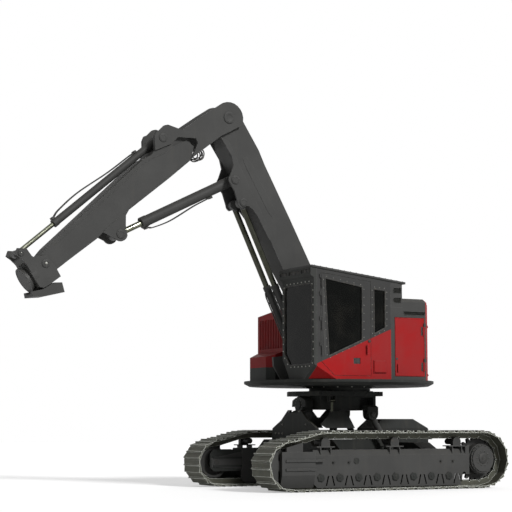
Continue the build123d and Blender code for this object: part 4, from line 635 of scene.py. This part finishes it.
def cushion(name, corners, thickness, across, channels):
    """Padded form over a slab: corners give the ends of its run in X and Z, across its half width."""
    bm = bmesh.new()
    low, high = Vector((corners[0][0], 0, corners[0][1])), Vector((corners[1][0], 0, corners[1][1]))
    run = high - low
    lift = Vector((-run.z, 0, run.x)).normalized()
    # the face that is sat on points up, and that of the back points forward
    if lift.z < 0 or (abs(lift.z) < 0.3 and lift.x < 0):
        lift = -lift
    bmesh.ops.create_cube(bm, size=1.0)
    for vert in bm.verts:
        u, v, w = vert.co.x + 0.5, vert.co.y * 2, vert.co.z + 0.5
        # a little smaller than the slab, which leaves room for the swelling
        vert.co = low + run * (0.03 + 0.94 * u) + Vector((0, SEAT_Y + v * (across - 0.014), 0)) + lift * (
            thickness * (0.06 + 0.80 * w))
    mesh = bpy.data.meshes.new(name)
    bm.to_mesh(mesh)
    bm.free()
    piece = bpy.data.objects.new(name, mesh)
    bpy.context.collection.objects.link(piece)
    modifier = piece.modifiers.new("remesh", "REMESH")
    modifier.mode = "VOXEL"
    modifier.voxel_size = VOXEL
    apply_modifiers(piece)
    rest = [v.co.copy() for v in piece.data.vertices]
    cloth = piece.modifiers.new("cloth", "CLOTH")
    cloth.settings.quality = 5
    cloth.settings.use_pressure = True
    cloth.settings.uniform_pressure_force = 4.0
    cloth.settings.effector_weights.gravity = 0.0
    cloth.settings.tension_stiffness = cloth.settings.compression_stiffness = 12.0
    cloth.collision_settings.use_collision = False
    cloth.point_cache.frame_start, cloth.point_cache.frame_end = 1, CLOTH_STEPS
    for step in range(1, CLOTH_STEPS + 1):
        bpy.context.scene.frame_set(step)
    apply_modifiers(piece)
    bpy.context.scene.frame_set(1)
    axis = run.normalized()
    for vert, start in zip(piece.data.vertices, rest):
        move = vert.co - start
        if move.length > MOST_MOVE:
            vert.co = start + move * (MOST_MOVE / move.length)
        # the upper face is crowned, and pulled in where a thread runs
        place = vert.co - low
        along_run = place.dot(axis) / run.length
        side = (vert.co.y - SEAT_Y) / across
        depth = place.dot(lift) / thickness
        if depth > 0.55:
            vert.co += lift * CROWN * (1 - side * side) * math.sin(math.pi * max(0.0, min(1.0, along_run)))
            for channel in channels:
                near = abs(along_run - channel) * run.length
                if near < CHANNEL_HALF and abs(side) < 0.86:
                    vert.co -= lift * CHANNEL_DEPTH * (1 - near / CHANNEL_HALF) ** 2
            near = abs(abs(side) - SEAM_AT) * across
            if near < SEAM_HALF:
                vert.co -= lift * SEAM_DEPTH * (1 - near / SEAM_HALF) ** 2
    modifier = piece.modifiers.new("soft", "SUBSURF")
    modifier.levels = modifier.render_levels = 1
    apply_modifiers(piece)
    for face in piece.data.polygons:
        face.use_smooth = True
    piece.data.materials.append(seat_fabric)
    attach(piece, "upper")
    return piece


def apply_modifiers(piece):
    """Swap the piece's mesh for the one that its modifiers make."""
    graph = bpy.context.evaluated_depsgraph_get()
    made = bpy.data.meshes.new_from_object(piece.evaluated_get(graph))
    piece.modifiers.clear()
    old, piece.data = piece.data, made
    bpy.data.meshes.remove(old)


seat_pieces = [
    cushion("seat_cushion", ((0.270, 2.200), (0.715, 2.200)), 0.128, 0.236, (0.30, 0.62)),
    cushion("seat_back", ((0.228, 2.330), (0.130, 3.010)), 0.125, 0.208, (0.22, 0.45, 0.68)),
]
pan = Piece()
pan.slab([(0.262, 2.186), (0.700, 2.186), (0.712, 2.204), (0.250, 2.204)], "y", 0.612, 1.068)
pan.slab([(0.150, 2.230), (0.236, 2.206), (0.226, 2.330), (0.131, 3.000), (0.122, 3.000)], "y", 0.650, 1.030)
for z in (1.830, 1.880, 1.930, 1.980, 2.030, 2.080):
    pan.block((0.345, 0.625), (0.705, 0.975), (z, z + 0.036))
pan.block((0.365, 0.605), (0.725, 0.955), (1.818, 2.188))
ARM_REST = [(0.335, 2.456), (0.700, 2.456), (0.716, 2.476), (0.700, 2.504), (0.350, 2.504), (0.334, 2.490)]
for y in (0.525, 1.085):
    pan.slab(ARM_REST, "y", y, y + 0.060)
    pan.slab([(0.360, 2.215), (0.400, 2.215), (0.400, 2.460), (0.360, 2.460)], "y", y + 0.015, y + 0.045)
    pan.slab([(0.360, 2.190), (0.400, 2.190), (0.400, 2.230), (0.360, 2.230)], "y",
             *((y + 0.015, 0.640) if y < 0.8 else (1.040, y + 0.045)))
pan.done("seat_shell", "upper", plastic, "console_plastic", bevel=0.005)
sticks = Piece()
STICK_PROFILE = [(0.034, 0), (0.030, 0.018), (0.018, 0.030), (0.013, 0.060), (0.013, 0.100), (0.024, 0.128),
                 (0.029, 0.165), (0.026, 0.205), (0.016, 0.222), (0.004, 0.226)]
for y in (0.555, 1.115):
    sticks.turned((0.660, y, 2.498), (0.12, 0, 1), STICK_PROFILE, 18)
sticks.done("joysticks", "upper", plastic, "console_plastic", smooth=True)
for piece in seat_pieces:
    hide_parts("seat")

# visor: dark lamp lenses in the three slots
lenses, bezels = Piece(), Piece()
for low, high in ((0.330, 0.565), (0.622, 0.975), (1.030, 1.325)):
    lenses.slab([(low + 0.006, 3.478), (high - 0.006, 3.478), (high - 0.006, 3.530), (low + 0.006, 3.530)],
                "x", 1.3075, 1.314)
    count = max(2, round((high - low) / 0.11))
    for i in range(count):
        y = low + (high - low) * (i + 0.5) / count
        bezels.turned((1.313, y, 3.504), (1, 0, 0),
                      [(0.023, 0), (0.023, 0.007), (0.018, 0.008), (0.015, 0.003)], 16)
lenses.done("visor_lenses", "upper", plastic, "console_plastic", bevel=0.002)
bezels.done("visor_lamp_rings", "upper", hose_rubber, "console_plastic", smooth=True)

# roof: bolts along the side and a rain gutter under them
ROOF_FRONT_Z, ROOF_REAR_Z, ROOF_REAR_X = 3.590, 3.385, -0.464
roof_slope = (ROOF_FRONT_Z - ROOF_REAR_Z) / (CAB_FRONT_X - ROOF_REAR_X)


def roof_z(x):
    """Height of the sloping roof there."""
    return ROOF_FRONT_Z + (x - CAB_FRONT_X) * roof_slope


roof_bolts = Piece()
for i in range(16):
    x = 1.255 - i * 0.112
    roof_bolts.bolt((x, 1.336, roof_z(x)), (-roof_slope, 0, 1), 0.008)
roof_bolts.done("roof_bolts", "upper", dark_paint, "dark_paint", smooth=True)
gutter = Piece()
gutter.tube([(x, 1.358, roof_z(x) - 0.030) for x in (1.300, -0.450)], 0.0075, per_run=1)
gutter.done("roof_gutter", "upper", dark_paint, "dark_paint")

# ---------------------------------------------------------------- housing
VENTS_Z = (3.038, 3.198)  # lower edges of the two vents in the box behind the cab

# fins and lips of the vents and of the housing's intake slot
fins = Piece()


def fin(rear_x, front_x, z, inner_y, outer_y):
    """A thin louvre fin that slopes down outward."""
    fins.rings([[Vector((x, y, z + dz + rise)) for x, rise in
                 ((rear_x, 0.0), (front_x, 0.0), (front_x, 0.003), (rear_x, 0.003))]
                for y, dz in ((inner_y, 0.008), (outer_y, 0.0))])


for z0 in VENTS_Z:
    for i in range(5):
        fin(-0.376, -0.230 if 0 < i < 4 else -0.246, z0 + 0.010 + i * 0.0165, 1.3245, 1.3465)
for i in range(4):
    fin(-0.838, -0.440, 2.850 + i * 0.0145, 1.3205, 1.3440)
fins.done("louvre_fins", "upper", dark_paint, "dark_paint")
lips = Piece()
for z in VENTS_Z:
    lips.tube([(-0.378, 1.351, z), (-0.245, 1.351, z), (-0.226, 1.351, z + 0.026),
               (-0.226, 1.351, z + 0.062), (-0.245, 1.351, z + 0.088), (-0.378, 1.351, z + 0.088)],
              0.0045, 8, closed=True, per_run=1)
lips.tube([(-0.850, 1.351, 2.872), (-0.833, 1.352, 2.842), (-0.462, 1.352, 2.842), (-0.430, 1.351, 2.872),
           (-0.430, 1.351, 2.906), (-0.852, 1.351, 2.906)], 0.006, 8, closed=True, per_run=1)
lips.done("louvre_lips", "upper", grey_paint, "grey_paint", smooth=True)

# engine and service doors: latch, hinge leaves, bolts and a stiffening rim
DOOR_OUTLINE = [(-0.826, 1.844), (-0.262, 1.844), (-0.262, 2.793), (-0.826, 2.793)]
for body, side in (("engine_door", 1), ("service_door", -1)):
    hardware = Piece()
    for z in (1.996, 2.584):
        hardware.slab([(-0.806, z - 0.070), (-0.766, z - 0.070), (-0.766, z + 0.070), (-0.806, z + 0.070)],
                      "y", *sorted((side * 1.353, side * 1.359)))
        for dz in (-0.045, 0.0, 0.045):
            hardware.bolt((-0.780, side * 1.359, z + dz), (0, side, 0), 0.006)
    hardware.turned((-0.285, side * 1.353, 2.120), (0, side, 0),
                    [(0.020, 0), (0.020, 0.008), (0.014, 0.012)], 18)
    hardware.done(body + "_hardware", body, grey_paint, "grey_paint")
    rim = Piece()
    rim.rings([[Vector((a, side * y, b)) for a, b in outward(DOOR_OUTLINE, d)]
               for d, y in ((0.0, 1.352), (0.0, 1.3575), (-0.010, 1.3585), (-0.016, 1.352))], closed=True)
    rim.done(body + "_rim", body, red_paint, "red_paint")

# tail: a lower and an upper row of bolts round its sheet
TAIL_R, TAIL_FRONT_X = 1.5002, -0.905
tail = Piece()
for i in range(11):
    turn = math.radians(130 + 10 * i)
    x, y = TAIL_R * math.cos(turn), TAIL_R * math.sin(turn)
    if x < TAIL_FRONT_X:
        for z in (1.880, 2.700):
            tail.bolt((x, y, z), (math.cos(turn), math.sin(turn), 0), 0.012)
tail.done("tail_bolts", "upper", red_paint, "red_paint", smooth=True)

# bolts of the bearing's ring under the deck and of the ring below it
bearing = Piece()
for i in range(16):
    angle = 2 * math.pi * (i + 0.5) / 16
    bearing.bolt((0.612 * math.cos(angle), 0.612 * math.sin(angle), 1.677),
                 (math.cos(angle) * 0.6, math.sin(angle) * 0.6, -0.8), 0.009)
bearing.done("bearing_bolts", "upper", bolt_steel, "flange_steel", smooth=True)
lower_ring = Piece()
for i in range(30):
    angle = 2 * math.pi * i / 30
    lower_ring.bolt((0.560 * math.cos(angle), 0.548 * math.sin(angle), 1.600), (0, 0, 1), 0.012)
lower_ring.done("lower_ring_bolts", "turntable", dark_paint, "dark_paint", smooth=True)

# ---------------------------------------------------------------- boom, stick and wrist
# pins: retaining caps on both ends, with their bolts
PINS = [  # body, place, half width over the lugs, cap radius
    ("boom", BOOM_TIP, 0.294, 0.088),
    ("boom", STICK_CYLINDER[0], 0.244, 0.066),
    ("boom", BOOM_CYLINDER[1], 0.244, 0.062),
    ("stick", TOOL_CYLINDER[0], 0.290, 0.066),
    ("stick", STICK_CYLINDER[1], 0.250, 0.066),
    ("wrist", WRIST_PIN, 0.248, 0.060),
    ("wrist", TOOL_CYLINDER[1], 0.248, 0.046),
    ("upper", BOOM_FOOT, 0.299, 0.078),
    ("upper", BOOM_CYLINDER[0], 0.299, 0.062),
    ("tilt_frame", TILT_HINGE, 0.226, 0.066),
    ("tilt_frame", PITCH_PIN, 0.556, 0.038),
]
for number, (body, (x, z), half, radius) in enumerate(PINS):
    cap = Piece()
    for side in (1, -1):
        cap.turned((x, side * (half - 0.004), z), (0, side, 0),
                   [(radius * 1.12, 0), (radius * 1.12, 0.006), (radius, 0.011), (radius * 0.62, 0.013),
                    (radius * 0.55, 0.009), (radius * 0.2, 0.009)], 28)
        for k in range(3):
            turn = math.radians(40 + 120 * k)
            cap.bolt((x + radius * 0.78 * math.cos(turn), side * (half + 0.007),
                      z + radius * 0.78 * math.sin(turn)), (0, side, 0), 0.007)
    cap.done(f"pin_caps_{number}", body, grey_paint, "grey_paint", smooth=True)
grease = Piece()
for side in (1, -1):
    for (x, z), radius, tip, steps in ((WRIST_PIN, 0.019, 0.010, 12), (TOOL_CYLINDER[1], 0.010, 0.006, 10)):
        grease.turned((x, side * 0.256, z), (0, side, 0),
                      [(radius, 0), (radius, 0.010), (tip, 0.014)], steps)
grease.done("grease_caps", "wrist", bolt_steel, "flange_steel", smooth=True)

BOOM_HALF, STICK_HALF = 0.200, 0.242
STICK_NARROWING = 0.052
NARROWS_FROM_X, NARROWS_OVER = 4.300, 0.800


def beam_half(body, x):
    """Half width of the boom's beam, or of the stick's, which narrows towards the wrist."""
    if body == "boom":
        return BOOM_HALF
    return STICK_HALF - STICK_NARROWING * min(1.0, max(0.0, (x - NARROWS_FROM_X) / NARROWS_OVER))


# weld beads along plate edges that stand on the beams
WELD_STEP = 0.018
WELDS = [  # name, body, run
    ("boom_lug_welds", "boom",
     [(2.2980, 5.629), (2.381, 5.755), (2.240, 5.700), (1.900, 5.060), (1.430, 4.180), (1.476, 4.098)]),
    ("stick_cheek_welds", "stick", [(2.930, 5.365), (2.860, 5.525)]),
    ("stick_top_welds", "stick",
     [(3.330, 5.440), (3.600, 5.310), (3.735, 5.222), (3.990, 4.985), (4.660, 4.345), (5.250, 3.800)]),
    ("stick_foot_welds", "stick", [(4.470, 4.052), (4.040, 4.436), (3.320, 5.030), (2.960, 5.330)]),
]
for name, body, run in WELDS:
    bead = Piece()
    fine = []
    for (x0, z0), (x1, z1) in zip(run, run[1:]):
        count = max(2, int(math.hypot(x1 - x0, z1 - z0) / WELD_STEP))
        fine += [(x0 + (x1 - x0) * i / count, z0 + (z1 - z0) * i / count) for i in range(count)]
    for side in (1, -1):
        bead.tube([(x, side * (beam_half(body, x) + 0.001), z) for x, z in fine], 0.0048, 6, per_run=1,
                  lumps=0.12)
    bead.done(name, body, grey_paint, "grey_paint", smooth=True)

# thin plates on both sides of the boom, beside its lugs
doubler = Piece()
patch = [(1.330, 4.560), (1.560, 4.960), (1.790, 5.350), (1.900, 5.480), (1.960, 5.440), (1.900, 5.290),
         (1.700, 4.940), (1.480, 4.560), (1.390, 4.470)]
for side in (1, -1):
    doubler.slab(patch, "y", *sorted((side * 0.199, side * 0.2045)))
doubler.done("boom_doublers", "boom", grey_paint, "grey_paint", bevel=0.002)


# pipes on the cylinders
def along(base, pin, distance, out, y):
    """Point at that distance from the base pin towards the rod's pin, out from the axis to one side, at y."""
    a, b = Vector(base), Vector(pin)
    d = (b - a).normalized()
    n = Vector((-d.y, d.x))
    p = a + d * distance + n * out
    return p.x, y, p.y


PIPES = [  # body, its pins, outer radius of the barrel, length, side of the bow, bow
    ("stick_cylinder_barrel", STICK_CYLINDER, 0.088, 1.774, -1, 0.075),
    ("tool_cylinder_barrel", TOOL_CYLINDER, 0.062, 2.290, 1, 0.080),
]
for body, (base, pin), radius, length, side, bow in PIPES:
    pipe, clamps = Piece(), Piece()
    for y in (0.030, -0.030):
        run = [(0.42, radius + 0.002), (0.55, radius + 0.016), (length * 0.45, radius + 0.35 * bow),
               (length * 0.72, radius + bow), (length * 0.90, radius + 0.75 * bow),
               (length - 0.10, radius + 0.030), (length - 0.060, radius * 1.08)]
        pipe.tube([along(base, pin, d, side * out, y) for d, out in run], 0.0095, 10)
    pipe.done(body + "_pipes", body, grey_paint, "grey_paint", smooth=True)
    for d in (0.42, length - 0.070):
        clamps.rings([[Vector(along(base, pin, e, side * (radius + out), y))
                       for e, y in ((d, -half), (d, half), (d + 0.05, half), (d + 0.05, -half))]
                      for out, half in ((0.004, 0.052), (0.034, 0.046))])
    clamps.done(body + "_clamps", body, grey_paint, "grey_paint", bevel=0.003)

# boom cylinders: pipe along each barrel, with two clamp rings
for y in (0.140, -0.140):
    pipe = Piece()
    base, pin = BOOM_CYLINDER
    run = [(0.30, 0.062), (0.36, 0.084), (0.60, 0.086), (1.10, 0.086), (1.28, 0.084), (1.36, 0.064)]
    pipe.tube([along(base, pin, d, -out, y) for d, out in run], 0.012, 10)
    direction = (pin[0] - base[0], 0, pin[1] - base[1])
    for d in (0.55, 1.15):
        pipe.turned(along(base, pin, d, 0.0, y), direction,
                    [(0.0622, 0), (0.0665, 0.002), (0.0665, 0.024), (0.0622, 0.026)], 32, hollow=True)
    side_name = "left" if y > 0 else "right"
    pipe.done("boom_cylinder_pipe_" + side_name, "boom_cylinder_barrel", grey_paint, "grey_paint",
              smooth=True)

# short hoses that loop out of the stick's rear end and back into it
tails = Piece()
for i in range(5):
    y, reach, drop = -0.10 + i * 0.05, 0.020 * (i % 3), 0.018 * ((i * 2) % 3)
    tails.tube([(2.960, y, 5.440), (2.860, y, 5.425), (2.765, y + 0.010, 5.395 - drop),
                (2.680 - reach, y + 0.016, 5.430 - drop), (2.655 - reach, y + 0.010, 5.500),
                (2.720 - reach, y + 0.004, 5.560), (2.830, y, 5.560), (2.960, y, 5.550)], 0.0105, 8)
tails.done("stick_hose_tails", "stick", hose_rubber, "console_plastic", smooth=True)

# wrist: bolts of the flange's ring
lean = math.radians(34.0)
forward = Vector((math.cos(lean), 0, -math.sin(lean)))
upward = Vector((math.sin(lean), 0, math.cos(lean)))
centre = Vector((5.560, 0, 3.314))
ring_bolts = Piece()
for i in range(16):
    turn = 2 * math.pi * (i + 0.5) / 16
    out = upward * math.cos(turn) + Vector((0, 1, 0)) * math.sin(turn)
    ring_bolts.bolt(centre + forward * 0.030 + out * 0.229, forward, 0.009)
ring_bolts.done("wrist_ring_bolts", "wrist", dark_paint, "dark_paint", smooth=True)


# ---------------------------------------------------------------- undercarriage
FRAME_Y = 1.450  # outer face of a side frame
ROLLERS, FIRST_ROLLER_X, ROLLER_STEP, ROLLER_Z = 8, 1.217, 0.348, 0.215
SPROCKET_X, SPROCKET_Z = -1.895, 0.490
RIB_Z = (0.333, 0.470)

frame_bits, hole_shade_discs, caps = Piece(), Piece(), Piece()
for side in (1, -1):
    face = side * FRAME_Y
    for x in (0.985, 0.700, -1.060, -1.300):
        # dark discs at the frame's four holes: painted shade of the holes
        hole_shade_discs.turned((x, face, 0.430), (0, side, 0), [(0.020, 0), (0.020, 0.004), (0.012, 0.006)], 14)
        frame_bits.slab([(x - 0.016, 0.452), (x + 0.016, 0.452), (x + 0.024, 0.466), (x - 0.024, 0.466)],
                        "y", *sorted((face, face + side * 0.030)))
    frame_bits.turned((0.560, face, 0.475), (0, side, 0), [(0.052, 0), (0.052, 0.005), (0.045, 0.008),
                                                          (0.040, 0.004)], 28)
    # hexagonal ends of the roller axles in the guard's bays
    for i in range(ROLLERS):
        x = FIRST_ROLLER_X - i * ROLLER_STEP
        caps.turned((x, face, ROLLER_Z), (0, side, 0), [(0.070, -0.002), (0.070, 0.012), (0.056, 0.020)], 6,
                    math.radians(30))
        caps.turned((x, face + side * 0.018, ROLLER_Z), (0, side, 0),
                    [(0.020, 0), (0.020, 0.006), (0.014, 0.009)], 6)
    # cover over the idler's fork on the inner side, with its two ribs
    frame_bits.slab([(1.345, 0.262), (1.860, 0.262), (1.930, 0.330), (1.930, 0.560), (1.880, 0.625),
                     (1.345, 0.625)], "y", *sorted((side * 1.060, side * 1.1015)))
    frame_bits.slab([(1.250, 0.275), (1.346, 0.275), (1.346, 0.612), (1.250, 0.612)], "y",
                    *sorted((side * 1.060, side * 1.0775)))
    for z in RIB_Z:
        frame_bits.slab([(1.190, z), (1.870, z), (1.870, z + 0.034), (1.190, z + 0.034)], "y",
                        *sorted((side * 1.040, side * 1.0775)))
    # weld between cover and beam
    frame_bits.tube([(1.337, side * 1.452, 0.275 + 0.02 * k) for k in range(17)], 0.009, 6, per_run=1,
                    lumps=0.2)
frame_bits.done("side_frame_fittings", "undercarriage", dark_paint, "grey_paint", smooth=True)
caps.done("roller_caps", "undercarriage", dark_paint, "dark_paint")
hole_shade_discs.done("side_frame_hole_shade_discs", "undercarriage", wheel_steel, "wheel_steel", smooth=True)

drive_bolts = Piece()
for side in (1, -1):
    for radius, count, y, size in ((0.219, 20, 1.4535, 0.011), (0.120, 10, 1.4750, 0.010)):
        for i in range(count):
            turn = 2 * math.pi * i / count
            drive_bolts.bolt((SPROCKET_X + radius * math.cos(turn), side * y,
                              SPROCKET_Z + radius * math.sin(turn)), (0, side, 0), size)
    drive_bolts.turned((SPROCKET_X, side * 1.474, SPROCKET_Z), (0, side, 0),
                       [(0.085, 0), (0.085, 0.010), (0.076, 0.014), (0.030, 0.014), (0.026, 0.020)], 36)
drive_bolts.done("final_drive_bolts", "undercarriage", wheel_steel, "wheel_steel", smooth=True)

# bolts of the notched shield and its post, of the trunnion and of the turntable's plate
SHIELD_X = 0.890
post_bolts = Piece()
for y in (-0.190, -0.165, 0.165, 0.190):
    post_bolts.bolt((SHIELD_X, y, 1.268), (1, 0, 0), 0.010)
for side in (1, -1):
    for y, z in ((0.640, 0.900), (0.520, 0.900), (0.400, 0.900), (0.400, 1.050)):
        post_bolts.bolt((SHIELD_X, side * y, z), (1, 0, 0), 0.013)
post_bolts.done("post_bolts", "undercarriage", dull_bolt, "flange_steel", smooth=True)

TRUNNION_X, TRUNNION_Z, TRUNNION_BOLTS_R = 0.800, 1.380, 0.106
trunnion = Piece()
for i in range(12):
    turn = 2 * math.pi * (i + 0.5) / 12
    trunnion.bolt((TRUNNION_X, TRUNNION_BOLTS_R * math.cos(turn),
                   TRUNNION_Z + TRUNNION_BOLTS_R * math.sin(turn)), (1, 0, 0), 0.0045)
trunnion.done("trunnion_bolts", "tilt_frame", dull_bolt, "flange_steel", smooth=True)

plate_bits = Piece()
for x in (-0.440, -0.200, 0.040, 0.280, 0.520, 0.660):
    for y in (0.5505, -0.5505):
        plate_bits.bolt((x, y, 1.562), (0, 1 if y > 0 else -1, 0), 0.013)
plate_bits.done("turntable_plate_bolts", "turntable", dark_paint, "dark_paint", smooth=True)


# ---------------------------------------------------------------- floor
def floor_piece():
    """Pale floor that keeps the shadow and shows white to the camera."""
    size, centre = 60.0, Vector((1.5, 0.0, 0.0))
    mesh = bpy.data.meshes.new("floor")
    mesh.from_pydata([(centre.x - size, centre.y - size, 0), (centre.x + size, centre.y - size, 0),
                      (centre.x + size, centre.y + size, 0), (centre.x - size, centre.y + size, 0)],
                     [], [(0, 1, 2, 3)])
    floor = bpy.data.objects.new("floor", mesh)
    bpy.context.collection.objects.link(floor)
    net = Net("pale_floor")
    net.shader.inputs["Base Color"].default_value = (0.82, 0.82, 0.82, 1)
    net.shader.inputs["Roughness"].default_value = 0.9
    net.shader.inputs["Specular IOR Level"].default_value = 0.0
    rays = net.add("LightPath")
    seen = net.math("MAXIMUM", rays.outputs["Is Camera Ray"], rays.outputs["Is Transmission Ray"])
    seen = net.math("MAXIMUM", seen, net.math("MULTIPLY", rays.outputs["Is Glossy Ray"], GLOSSY_FLOOR))
    net.shader.inputs["Emission Color"].default_value = (1, 1, 1, 1)
    net.link(net.math("MULTIPLY", seen, 0.42), net.shader.inputs["Emission Strength"])
    mesh.materials.append(net.material)


floor_piece()
